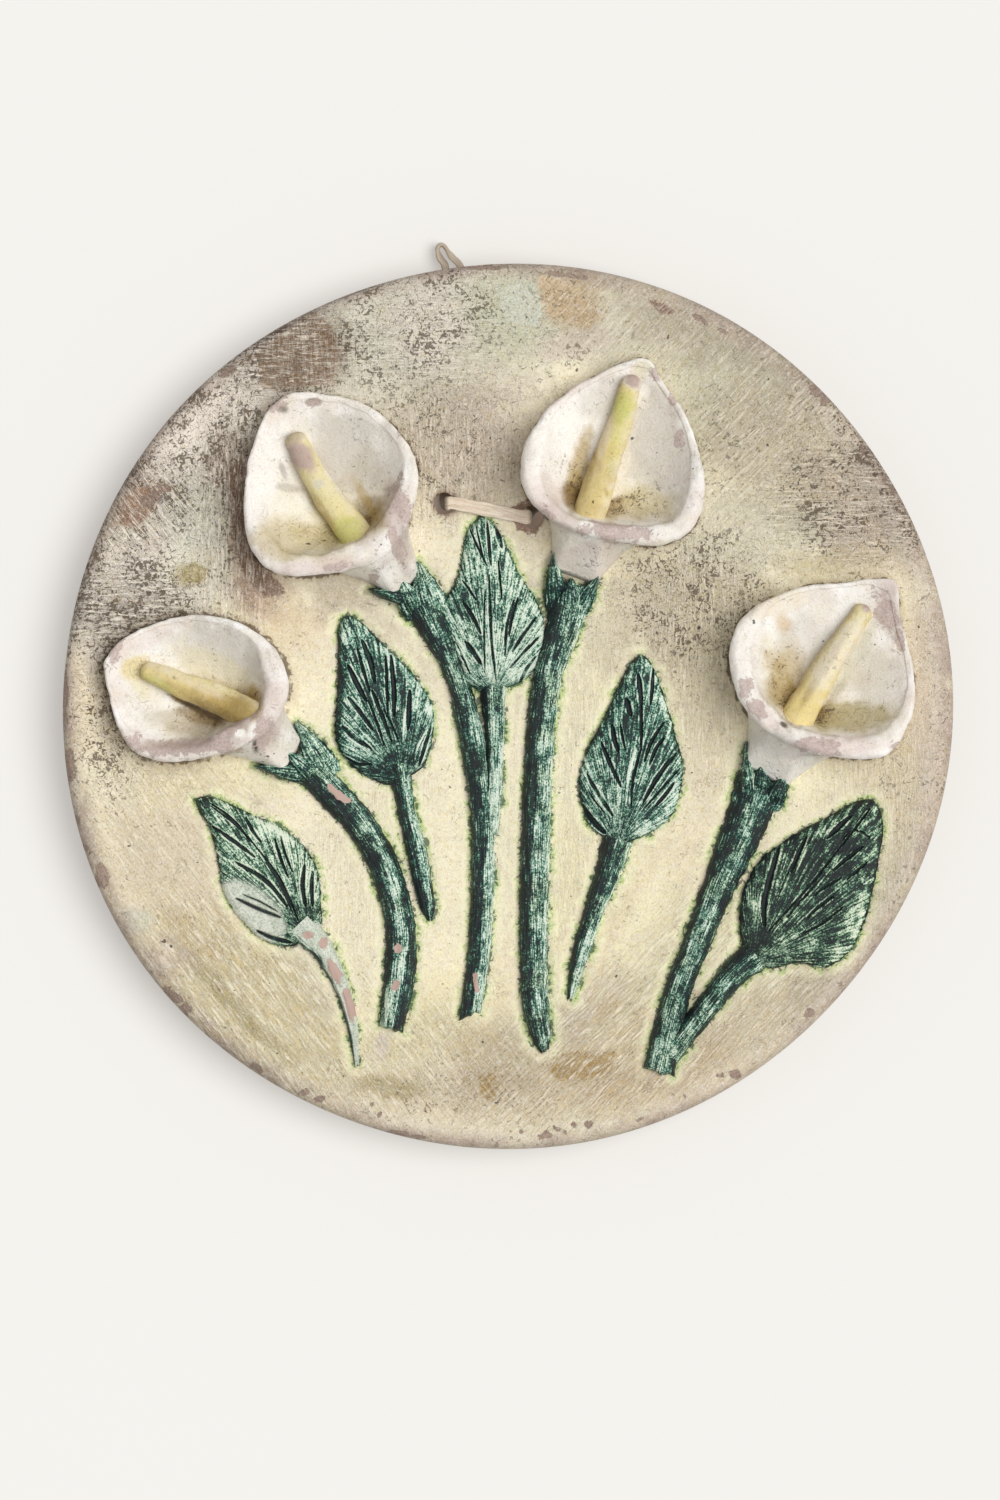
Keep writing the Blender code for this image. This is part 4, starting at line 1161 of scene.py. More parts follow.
def lip_thickness(flower, angles):
    share = THIN_LIP_SHARE + (1 - THIN_LIP_SHARE) * lip_roll(flower, angles)
    return LIP_THICKNESS * share


def measured(given):
    """A flower in metres, with smooth outlines and its bowl's edge moved out where the
    lip is thin."""
    flower = {k: np.array(given[k]) * PLATE_RADIUS for k in ("centre", "tip", "throat", "neck")}
    flower["roll"] = given["roll"]
    centre = flower["centre"]
    flower["outline"] = smooth(np.array(given["outline"]) * PLATE_RADIUS, 16, closed=True)
    bowl = smooth(np.array(given["bowl"] + given["bowl"][:1]) * PLATE_RADIUS, 16)[:-1]
    away = bowl - centre
    angles = bearings(away)
    long = np.linalg.norm(away, axis=1)
    room = reach(flower["outline"], centre, angles) - long
    moved = long + room * LIP_FADE * (1 - lip_roll(flower, angles))
    flower["bowl"] = centre + away * (moved / long)[:, None]
    flower["spadix"] = np.array(given["spadix"]) * PLATE_RADIUS
    axis = flower["neck"] - centre
    axis = axis / np.linalg.norm(axis)
    across = np.array((-axis[1], axis[0])) * given["neck_width"] * PLATE_RADIUS / 2
    flower["foot"] = flower["outline"] * 0.90 + centre * 0.10
    neck = [flower["neck"] + across, flower["neck"] - across]
    flower["skirt"] = hull([*flower["foot"], *neck])
    return flower


def funnel_reach(flower, angles):
    """How far the cup's foot lies from the centre, drawn in beside its neck."""
    near = reach(flower["foot"], flower["centre"], angles)
    extra = np.maximum(0, reach(flower["skirt"], flower["centre"], angles) - near)
    return near + extra * (extra / extra.max()) ** 0.8


def bowl_height(flower, places):
    """The height of the bowl's skin at some places."""
    away = places - flower["throat"]
    angles = bearings(away)
    whole = reach(flower["bowl"], flower["throat"], angles)
    edge = whole[:, None] * directions(angles)
    seen = flower["throat"] + edge - flower["centre"]
    outward = bearings(seen)
    top = lip_height(flower, outward) - lip_thickness(flower, outward) * 0.35
    share = np.minimum(np.linalg.norm(away, axis=1) / whole, 1.0)
    return BOWL_FLOOR + (top - BOWL_FLOOR) * share ** (1.7 + 0.8 * lip_roll(flower, outward))


# A cup's section in stations: shares of the way from its throat to its bowl's edge, the
# lip's way out and down in shares of its width and its thickness, and shares of the way
# from under the lip to the foot
BOWL_STATIONS = (0.06, 0.14, 0.24, 0.35, 0.5, 0.65, 0.78, 0.88, 0.95)
LIP_SECTION = ((0.0, 0.35), (0.14, 0.13), (0.30, 0.04), (0.5, 0.0), (0.70, 0.0),
               (0.88, 0.14), (1.0, 0.40), (0.97, 0.64), (0.88, 0.85))
WALL_STATIONS = (0.18, 0.35, 0.52, 0.70, 0.83, 0.92, 1.0)
LIP_START = len(BOWL_STATIONS)
WALL_START = LIP_START + len(LIP_SECTION)
FOOT_STATION = WALL_START + len(WALL_STATIONS) - 1


def lip_share(station):
    """How much of the lip's unevenness there is at a station of the section."""
    gone = eased(WALL_START, WALL_START + 2, station)
    return eased(LIP_START - 3, LIP_START, station) * (1 - gone)


def cup_rings(flower, roll, angles, seed):
    """A cup's skin, ring by ring from its throat to its foot: places and heights."""
    centre, throat = flower["centre"], flower["throat"]
    direction = directions(angles)
    inner = reach(flower["bowl"], centre, angles)
    outer = reach(flower["outline"], centre, angles)
    base = funnel_reach(flower, angles)
    top, thick = lip_height(flower, angles), lip_thickness(flower, angles)
    uneven = grains(direction * 0.02, 0.0052, seed + 8) * PIXEL * 2.2
    inner = inner + uneven * (0.4 + 0.6 * roll)
    band = outer - inner
    edge = centre + inner[:, None] * direction
    rings = []
    for t in BOWL_STATIONS:
        place = throat + (edge - throat) * t
        rise = BOWL_FLOOR + (top - thick * 0.35 - BOWL_FLOOR) * t ** (1.7 + 0.8 * roll)
        rings.append(np.column_stack((place, rise)))
    for out, down in LIP_SECTION:
        place = centre + (inner + out * band)[:, None] * direction
        rings.append(np.column_stack((place, top - thick * down)))
    under, below = outer - 0.12 * band, top - thick * 0.85
    for s in WALL_STATIONS:
        place = centre + (under + (base - under) * s)[:, None] * direction
        fall = 0.75 * (1 - s) ** 1.3 + 0.25 * math.sqrt(1 - s**4)
        rise = below * fall if s < 1 else np.full(len(angles), -BED)
        rings.append(np.column_stack((place, rise)))
    rings = np.array(rings)
    return smooth(rings.reshape(len(rings), -1), CUP_STEPS).reshape(-1, len(angles), 3)


def paint_cup(ob, key, places, station, roll, seed):
    """Lays the colours on a cup: warm white, flushed on its lip, and yellow, ochre and umber
    towards its throat. The ochre and umber deep on the throat's side are partly its own
    colour and partly painted shade; an umber line where the bowl meets the lip and a clay
    coloured band under the lip's roll are painted shade."""
    lipness = lip_share(station)
    wall = eased(WALL_START - 1, WALL_START + 0.5, station)
    mottled = grains(places, 0.006, seed + 11)
    flushed = np.clip(0.25 + 0.9 * grains(places, 0.007, seed + 12), 0, 1) * lipness
    ground = ground_of("petal", places)
    ground = mixed(ground, "milk", np.clip(0.4 + mottled, 0, 1))
    ground = mixed(ground, "pink", 0.55 * flushed)
    ground = mixed(ground, "sand", 0.12 * wall)
    depth = (1 - eased(2.5, 8.6, station + 1.2 * mottled)) * (0.25 + 0.75 * roll)
    ground = mixed(ground, "lemon", 0.40 * depth)
    # partly the throat's own ochre and partly painted shade, deepest on the throat's side
    depth = (1 - eased(1.5, 7.8, station + 1.6 * mottled)) * eased(0.35, 0.95, roll)
    ground = mixed(ground, "ochre", 0.60 * depth)
    ground = mixed(ground, "umber", 0.65 * depth**2.5)
    # painted shade where the bowl meets the lip, under the lip's inner edge
    crease_shade = np.exp(-((station - 8.4) / 0.8) ** 2) * eased(0.4, 0.9, roll)
    crease_shade *= np.clip(0.5 + grains(places, 0.004, seed + 13), 0, 1)
    ground = mixed(ground, "umber", 0.40 * crease_shade)
    # painted shade: a clay coloured band just under the lip's outer roll
    seam_shade = np.exp(-((station - 18.2) / 0.5) ** 2) * np.clip(0.2 + mottled, 0, 1)
    ground = mixed(ground, "clay", 0.5 * seam_shade)
    paint = dabbed(places, ground, PETAL_DABS_AND_SHADING[key], seed)
    yellowed = np.clip(1.15 - 1.25 * paint[:, 2] / paint[:, 0], 0, 1)
    give(ob, paint=paint, chip=chipped(places, PETAL_CHIPS[key], seed), wear=0.80,
         speck=0.12 + 0.35 * depth + 0.16 * wall + 0.55 * yellowed)


def cup(key, given):
    """One petal: its bowl, its thick rolled lip and its funnel, in one skin."""
    flower = measured(given)
    centre, throat = flower["centre"], flower["throat"]
    corner = flower["bowl"][0] - centre
    seed = 40 + sorted(FLOWERS).index(key) * 10
    angles = math.atan2(corner[1], corner[0]) + around(CUP_SECTORS)
    roll = lip_roll(flower, angles)
    rings = cup_rings(flower, roll, angles, seed)
    flat = rings.reshape(-1, 3)
    station = np.repeat(np.arange(len(rings)) / CUP_STEPS, CUP_SECTORS)
    lipness = lip_share(station)
    hand = 0.00050 * grains(flat, 0.0085, seed) + 0.00022 * grains(flat, 0.0030, seed + 3)
    hand += 0.00008 * grains(flat, 0.0011, seed + 4)
    rise = flat[:, 2] + hand * (0.5 + 0.9 * lipness) * (station < FOOT_STATION)
    wobble = 1 + 0.016 * grains(flat, 0.005, seed + 5)[:, None] * lipness[:, None]
    places = centre + (flat[:, :2] - centre) * wobble
    middle = on_face(throat[None], np.array([BOWL_FLOOR]))[0]
    ob = grid_mesh(f"petal_{key}", on_face(places, rise).reshape(rings.shape), closed=True,
                   first=middle, flip=True)
    paint_cup(ob, key, np.vstack((places, throat[None])), np.append(station, 0),
              np.append(np.tile(roll, len(rings)), 1), seed)
    placed(ob, PETAL_PAINT, "painted_clay", "plate")
    return flower


def paint_spadix(ob, key, turn, seed):
    """Lays the colours on a spadix: yellow, with painted light on its lit side and painted
    shade in umber on the other.
    """
    where = corners(ob)[:, [0, 2]]
    pale = grains(where, 0.006, seed + 3) * 0.6 + 0.35
    ground = mixed(ground_of("spadix", where), "lemon", np.clip(pale, 0, 0.8))
    # painted shade on the side turned from the light and painted light on the side facing it
    to_light = 0.45 * np.sin(turn) + 0.65 * np.cos(turn)
    shaded_flank = np.append(np.tile(1 - eased(-0.75, 0.20, to_light), SPADIX_RINGS), (0, 0))
    shaded_flank = shaded_flank * np.clip(0.8 + 0.4 * grains(where, 0.003, seed + 4), 0, 1)
    ground = mixed(ground, "umber", 0.62 * shaded_flank)
    lit = np.append(np.tile(eased(0.55, 0.80, to_light), SPADIX_RINGS), (0, 0))
    lit = lit * np.clip(0.4 + grains(where, 0.0022, seed + 5), 0, 1)
    ground = mixed(ground, "petal", 0.50 * lit)
    give(ob, paint=dabbed(where, ground, SPADIX_DABS_AND_SHADING[key], seed), chip=NO_CHIP, wear=0.0,
         speck=0.16)


def spadix(key, flower):
    """The hand-rolled rod that lies in the bowl."""
    root, middle, tip = flower["spadix"]
    inward = (root - middle) / np.linalg.norm(root - middle)
    hidden = root + inward * SPADIX_BASE_DIAMETER * (0.75 if key == "left" else 0.5)
    seed = 90 + 6 * sorted(FLOWERS).index(key)
    count = SPADIX_RINGS
    line = evenly(smooth((hidden, root, middle, tip), 16), count)
    share = np.linspace(0, 1, count)
    ahead = heading(line)
    across = np.stack((ahead[:, 1], -ahead[:, 0]), axis=1)
    walk = np.stack((share * 0.035, share * 0), axis=1)
    line = line + across * (0.0006 * grains(walk, 0.009, seed + 1))[:, None]
    slim = share**1.35
    radius = (SPADIX_BASE_DIAMETER * (1 - slim) + SPADIX_TIP_DIAMETER * slim) / 2
    rest = bowl_height(flower, line) + 0.6 * radius
    start = np.argmin(np.linalg.norm(line - root, axis=1))
    rest[:start] = rest[start]
    rest = np.convolve(np.pad(rest, 8, mode="edge"), np.ones(17) / 17, mode="valid")
    axis = rest + 0.0008 * np.sin(np.pi * share)
    radius = radius * (1 + 0.07 * grains(walk, 0.006, seed + 2))
    left = np.linalg.norm(line[-1] - line[-2]) * (count - 1 - np.arange(count))
    radius = radius * np.sqrt(np.clip(1 - np.clip(1 - left / 0.0026, 0, 1) ** 2.2, 0.02, 1))
    turn = around(SPADIX_SIDES)
    places = line[:, None] + across[:, None] * (radius[:, None] * np.cos(turn))[..., None]
    rise = axis[:, None] + radius[:, None] * np.sin(turn)
    flat = places.reshape(-1, 2)
    hand = 0.00022 * grains(flat, 0.0035, seed) + 0.00010 * grains(flat, 0.0012, seed + 3)
    points = on_face(places, rise + hand.reshape(rise.shape))
    ob = grid_mesh(f"spadix_{key}", points, closed=True, first=points[0].mean(0),
                   last=points[-1].mean(0), flip=True)
    paint_spadix(ob, key, turn, seed)
    placed(ob, PETAL_PAINT, "painted_clay", "plate")


for flower_name, flower_shape in FLOWERS.items():
    spadix(flower_name, cup(flower_name, flower_shape))

# Each leaf in the photograph's frame: both edges from its base to its tip, its midrib,
# the strokes carved in it with their widths (a ridge where the width is below 0), and
# brighter (above 0) and darker ovals
LEAVES = {
    "lower_left": {
        "left": ((296, 945), (280, 945), (262, 938), (246, 924), (232, 906), (223, 888),
                 (220, 868), (216, 848), (210, 828), (202, 814), (197, 804)),
        "right": ((322, 922), (321, 905), (321, 890), (317, 868), (308, 851), (294, 837),
                  (276, 824), (256, 816), (240, 808), (222, 800), (207, 796)),
        "tip": (197, 798),
        "base": (306, 932),
        "strokes": (
            (299, 920, 281, 880, 258, 848, 3.0), (258, 848, 238, 826, 212, 806, 2.4),
            (288, 906, 266, 880, 236, 862, 4.5), (281, 917, 258, 908, 237, 898, 4.5),
            (278, 911, 260, 901, 243, 894, 2.2), (292, 942, 272, 937, 257, 930, 5.0),
            (256, 857, 236, 842, 213, 826, 4.0), (253, 843, 233, 819, 211, 803, 2.6),
            (262, 842, 254, 832, 246, 817, 3.4), (289, 878, 281, 858, 275, 838, 3.0),
            (293, 872, 286, 854, 281, 836, 2.4), (306, 906, 303, 885, 305, 864, 4.5),
            (313, 906, 312, 888, 313, 870, 4.0), (293, 912, 280, 882, 266, 862, 2.4),
        ),
        "tones": (
            (270, 835, 18, 16, 0, 0.30), (303, 912, 16, 14, 0, -0.30),
            (215, 815, 18, 9, -40, 0.12), (235, 850, 20, 12, -30, 0.12),
            (205, 805, 12, 12, 0, -0.2), (300, 860, 10, 26, 12, 0.12),
        ),
        "warm": 0.34, "level": 0.55, "seed": 210,
    },
    "left_of_centre": {
        "left": ((388, 785), (372, 779), (356, 769), (343, 756), (336, 740), (335, 720),
                 (337, 698), (338, 672), (338, 645), (338, 630), (342, 619)),
        "right": ((412, 775), (424, 766), (430, 750), (434, 728), (433, 708), (424, 689),
                  (411, 672), (396, 656), (382, 643), (368, 628), (357, 619)),
        "tip": (350, 615),
        "base": (403, 780),
        "strokes": (
            (367, 702, 358, 685, 348, 665, 5.0), (373, 730, 360, 712, 348, 697, 4.6),
            (371, 748, 354, 738, 342, 726, 4.4), (372, 764, 358, 764, 346, 757, 3.0),
            (375, 682, 370, 660, 362, 640, 5.0), (370, 692, 364, 672, 357, 648, 3.2),
            (392, 742, 382, 715, 372, 690, 4.0), (388, 716, 387, 688, 386, 656, 3.0),
            (394, 716, 394, 690, 391, 655, 4.6), (408, 730, 409, 714, 410, 690, 4.8),
            (403, 742, 404, 722, 407, 700, -2.4), (419, 766, 425, 746, 431, 726, 3.6),
            (415, 760, 419, 744, 428, 729, -2.8), (384, 745, 377, 722, 368, 700, 2.6),
            (399, 742, 392, 725, 383, 708, 2.4),
        ),
        "tones": (
            (425, 702, 12, 26, 14, 0.34), (352, 715, 9, 30, 0, 0.16),
            (360, 746, 20, 12, -20, 0.22), (405, 765, 22, 14, 0, -0.30),
            (356, 640, 10, 16, 0, 0.14), (385, 690, 26, 30, 0, -0.10),
            (338, 690, 5, 60, 0, -0.25), (372, 770, 24, 8, -20, -0.22),
        ),
        "warm": 0.05, "level": 0.42, "seed": 220,
    },
    "centre": {
        "left": ((480, 691), (467, 682), (459, 668), (452, 650), (445, 630), (440, 610),
                 (450, 592), (458, 576), (463, 553), (467, 532)),
        "right": ((506, 688), (521, 682), (535, 668), (543, 648), (544, 622), (535, 598),
                  (521, 577), (510, 553), (501, 535), (491, 522)),
        "tip": (481, 516),
        "base": (493, 693),
        "strokes": (
            (496, 680, 491, 635, 489, 575, 3.2), (485, 672, 484, 630, 485, 590, 2.2),
            (491, 566, 489, 545, 487, 522, 3.4), (487, 566, 478, 548, 470, 530, 2.4),
            (484, 562, 480, 545, 476, 526, 2.0), (502, 548, 499, 538, 496, 528, 4.4),
            (481, 634, 472, 616, 463, 602, 4.0), (481, 664, 473, 652, 465, 641, 5.0),
            (505, 655, 507, 625, 514, 600, 3.2), (509, 636, 512, 616, 518, 598, 3.4),
            (512, 652, 524, 634, 536, 617, 3.6), (510, 668, 524, 652, 540, 636, 3.0),
            (519, 684, 527, 668, 536, 656, 3.6), (470, 674, 462, 656, 456, 642, 2.4),
            (476, 600, 468, 588, 462, 580, 2.4), (498, 560, 500, 580, 502, 600, 2.2),
        ),
        "tones": (
            (515, 575, 12, 18, -24, 0.22), (524, 622, 14, 20, 30, 0.18),
            (468, 600, 16, 22, 20, -0.20), (458, 655, 10, 26, -16, 0.26),
            (492, 690, 22, 10, 0, -0.10), (500, 660, 14, 22, 0, 0.22),
            (464, 555, 5, 30, 8, 0.22), (482, 530, 10, 16, 0, 0.02),
            (522, 665, 16, 16, 30, 0.20), (487, 640, 5, 40, 0, 0.22),
        ),
        "warm": 0.12, "level": 0.62, "seed": 230,
    },
    "right_of_centre": {
        "left": ((604, 838), (590, 825), (582, 806), (579, 785), (583, 762), (592, 740),
                 (604, 718), (613, 698), (621, 680), (630, 664)),
        "right": ((630, 842), (655, 830), (671, 816), (680, 794), (683, 768), (677, 740),
                  (670, 715), (662, 690), (655, 671), (648, 659)),
        "tip": (640, 654),
        "base": (617, 845),
        "strokes": (
            (626, 806, 628, 775, 636, 748, -4.2), (631, 806, 633, 778, 641, 748, 3.2),
            (641, 748, 641, 720, 640, 692, 3.4), (641, 706, 640, 690, 638, 674, 5.0),
            (618, 752, 614, 738, 612, 724, 4.6), (631, 716, 628, 706, 626, 698, 5.6),
            (621, 787, 610, 764, 601, 742, 4.2), (613, 816, 598, 794, 587, 774, 4.2),
            (605, 833, 592, 820, 583, 805, 6.0), (644, 762, 652, 740, 664, 722, 3.4),
            (649, 765, 656, 748, 664, 738, 3.6), (643, 802, 658, 776, 676, 753, 4.4),
            (646, 806, 662, 788, 680, 768, 2.6), (655, 806, 664, 796, 674, 782, 4.0),
            (650, 705, 652, 688, 653, 668, 3.6), (625, 750, 622, 736, 620, 724, 2.6),
            (604, 812, 594, 800, 588, 790, 2.0),
        ),
        "tones": (
            (673, 798, 8, 30, -14, 0.34), (590, 775, 8, 30, 16, 0.26),
            (637, 770, 7, 22, 0, 0.10), (640, 822, 20, 5, 0, 0.10),
            (625, 720, 16, 30, 0, -0.10), (662, 700, 8, 24, -14, 0.16),
            (655, 752, 14, 14, 0, -0.12), (612, 800, 12, 14, 0, 0.22),
            (650, 828, 22, 8, 16, 0.28), (642, 658, 8, 6, 0, -0.25),
            (604, 726, 8, 20, -30, -0.20),
        ),
        "warm": 0.08, "level": 0.44, "seed": 240,
    },
    "lower_right": {
        "left": ((742, 944), (739, 920), (741, 898), (749, 876), (762, 857), (781, 843),
                 (803, 829), (826, 817), (845, 806), (860, 800)),
        "right": ((772, 968), (798, 962), (822, 967), (842, 957), (857, 937), (866, 912),
                  (873, 885), (878, 858), (882, 832), (880, 812)),
        "tip": (872, 799),
        "base": (752, 962),
        "strokes": (
            (768, 930, 808, 886, 838, 848, 2.6), (838, 848, 854, 828, 869, 808, 2.4),
            (772, 932, 812, 890, 842, 851, -2.2), (764, 926, 764, 898, 778, 848, 6.0),
            (795, 872, 803, 854, 812, 838, -3.0), (790, 872, 798, 852, 806, 836, 4.0),
            (812, 896, 822, 888, 840, 878, 2.6), (805, 918, 818, 906, 832, 896, 3.4),
            (826, 838, 838, 826, 850, 816, 5.0), (832, 870, 846, 858, 862, 846, 3.6),
            (845, 880, 856, 870, 866, 862, 2.8), (800, 934, 822, 922, 842, 906, 2.8),
            (776, 900, 784, 880, 792, 862, 2.0), (842, 838, 854, 830, 870, 838, 2.2),
            (786, 918, 800, 900, 812, 888, 2.4),
        ),
        "tones": (
            (852, 920, 10, 40, -24, 0.42), (825, 860, 34, 26, 40, -0.22),
            (755, 908, 9, 16, 0, 0.24), (800, 940, 26, 8, -10, 0.20),
            (826, 826, 16, 6, 42, 0.30), (866, 830, 10, 20, 0, 0.10),
            (781, 870, 9, 22, -14, 0.12), (872, 880, 5, 60, -10, -0.35),
            (756, 940, 16, 14, 0, -0.18), (775, 950, 18, 6, 14, 0.16),
        ),
        "warm": 0.46, "level": 0.28, "seed": 250,
    },
}

# The edges of all greenery, which the dish is painted round
GREEN_EDGES = []
SKIRT_HEIGHT = -BED * 0.4


def relief(name, places, rise, head=False, foot=False):
    """A form in low relief over the dish, with sides, and ends where asked, that run down
    into the clay."""
    points = on_face(places, rise)
    low = on_face(places, np.full(rise.shape, SKIRT_HEIGHT))
    ring = np.concatenate((low[:, :1], points, low[:, -1:]), axis=1)
    across = [0, *range(rise.shape[1]), -1]
    if head:
        ring = np.concatenate((low[:1, across], ring), axis=0)
    if foot:
        ring = np.concatenate((ring, low[-1:, across]), axis=0)
    return grid_mesh(name, ring)


def paint_green(ob, tone, warm, strand, pale=0.0, chip=NO_CHIP):
    """Stores what the green paint reads: how bright and how warm it is, which way it was
    dragged, where it is washed out and where it has chipped off."""
    give(ob, tone=tone, warm=warm, pale=pale, chip=chip, strand=strand)
    placed(ob, GREEN_PAINT, "painted_clay", "plate")


def washed_lobe(flat, groove, uneven):
    """Where the lower left leaf is washed out: the lower part of its outer lobe."""
    lobe = oval(flat, 246, 916, 40, 34, -36) + 0.25 * uneven
    away = (flat - at((262, 905))) / 0.012
    lower = eased(-0.2, 0.3, 0.25 - away[:, 0] * 0.5 - away[:, 1] * 0.6)
    return eased(-0.1, 0.12, lobe) * (1 - groove) * lower


def leaf(key, given):
    """A leaf in low relief, with its carved strokes."""
    rows, columns = LEAF_ROWS, LEAF_COLUMNS
    base, tip = ends = at([given["base"], given["tip"]])
    sides = []
    for side in ("left", "right"):
        curve = smooth(np.vstack((ends[:1], at(given[side]), ends[1:])), 14)
        sides.append(evenly(curve, rows))
    GREEN_EDGES.extend(sides)
    seed = given["seed"]
    middle = (sides[0] + sides[1]) / 2
    rims = np.vstack(sides)
    ragged = 1 + 0.016 * grain(rims, 0.0013, seed).reshape(2, -1)[..., None]
    ragged = ragged + 0.012 * grain(rims, 0.0005, seed + 1).reshape(2, -1)[..., None]
    left, right = (middle + (side - middle) * r for side, r in zip(sides, ragged))
    across = np.linspace(-1, 1, columns)
    across = np.sign(across) * np.abs(across) ** 0.92
    share = (across[None, :, None] + 1) / 2
    places = left[:, None] * (1 - share) + right[:, None] * share
    flat = places.reshape(-1, 2)
    s = np.tile(across, rows)
    t = np.repeat(np.linspace(0, 1, rows), columns)
    groove, ridge = to_strokes(flat, given["strokes"])
    inset = gaps(edge_tree(sides), flat)
    shoulder = np.sqrt(np.clip(inset / 0.0016, 0, 1))
    crown = LEAF_RELIEF * (1 - 0.38 * s * s - 0.12 * (2 * t - 1) ** 2)
    height = crown * (0.25 + 0.75 * shoulder)
    height += 0.00022 * grains(flat, 0.004, seed + 3) - 0.0009 * groove + 0.0004 * ridge
    ob = relief(f"leaf_{key}", places, height.reshape(rows, columns))
    tone = np.full(len(flat), given["level"])
    uneven = 0.3 * grains(flat, 0.004, seed + 9)
    for *patch, change in given["tones"]:
        tone += change * eased(-0.4, 0.4, oval(flat, *patch) + uneven)
    tone += 0.55 * ridge - 0.70 * groove
    patchy = np.clip(0.6 + grains(flat, 0.004, seed + 12), 0, 1)
    # Painted shade along the leaf's left edge, turned from the light; the paler band inside its
    # right edge is partly the dragged paint and partly painted light.
    tone -= 0.26 * (1 - eased(0.0002, 0.0013, inset)) * (s < 0) * patchy
    band = eased(0.0003, 0.0008, inset) * (1 - eased(0.0012, 0.0034, inset))
    tone += 0.44 * band * (s > 0) * patchy
    tone -= 0.26 * (1 - eased(0.0, 0.0006, inset))
    away = flat - base
    distance = np.hypot(away[:, 0], away[:, 1])
    strand = np.stack((bearings(away) * LEAF_STREAKS[0], distance * LEAF_STREAKS[1],
                       np.zeros(len(flat))), axis=1)
    warm = np.clip(given["warm"] + 0.3 * uneven, 0, 1)
    pale = np.zeros(len(flat))
    if key == "lower_left":
        pale = washed_lobe(flat, groove, uneven)
    index = np.arange(rows * columns).reshape(rows, columns)
    keep = np.pad(index, ((0, 0), (1, 1)), mode="edge").ravel()
    paint_green(ob, tone[keep], warm[keep], strand[keep], pale[keep])


for leaf_name, leaf_shape in LEAVES.items():
    leaf(leaf_name, leaf_shape)

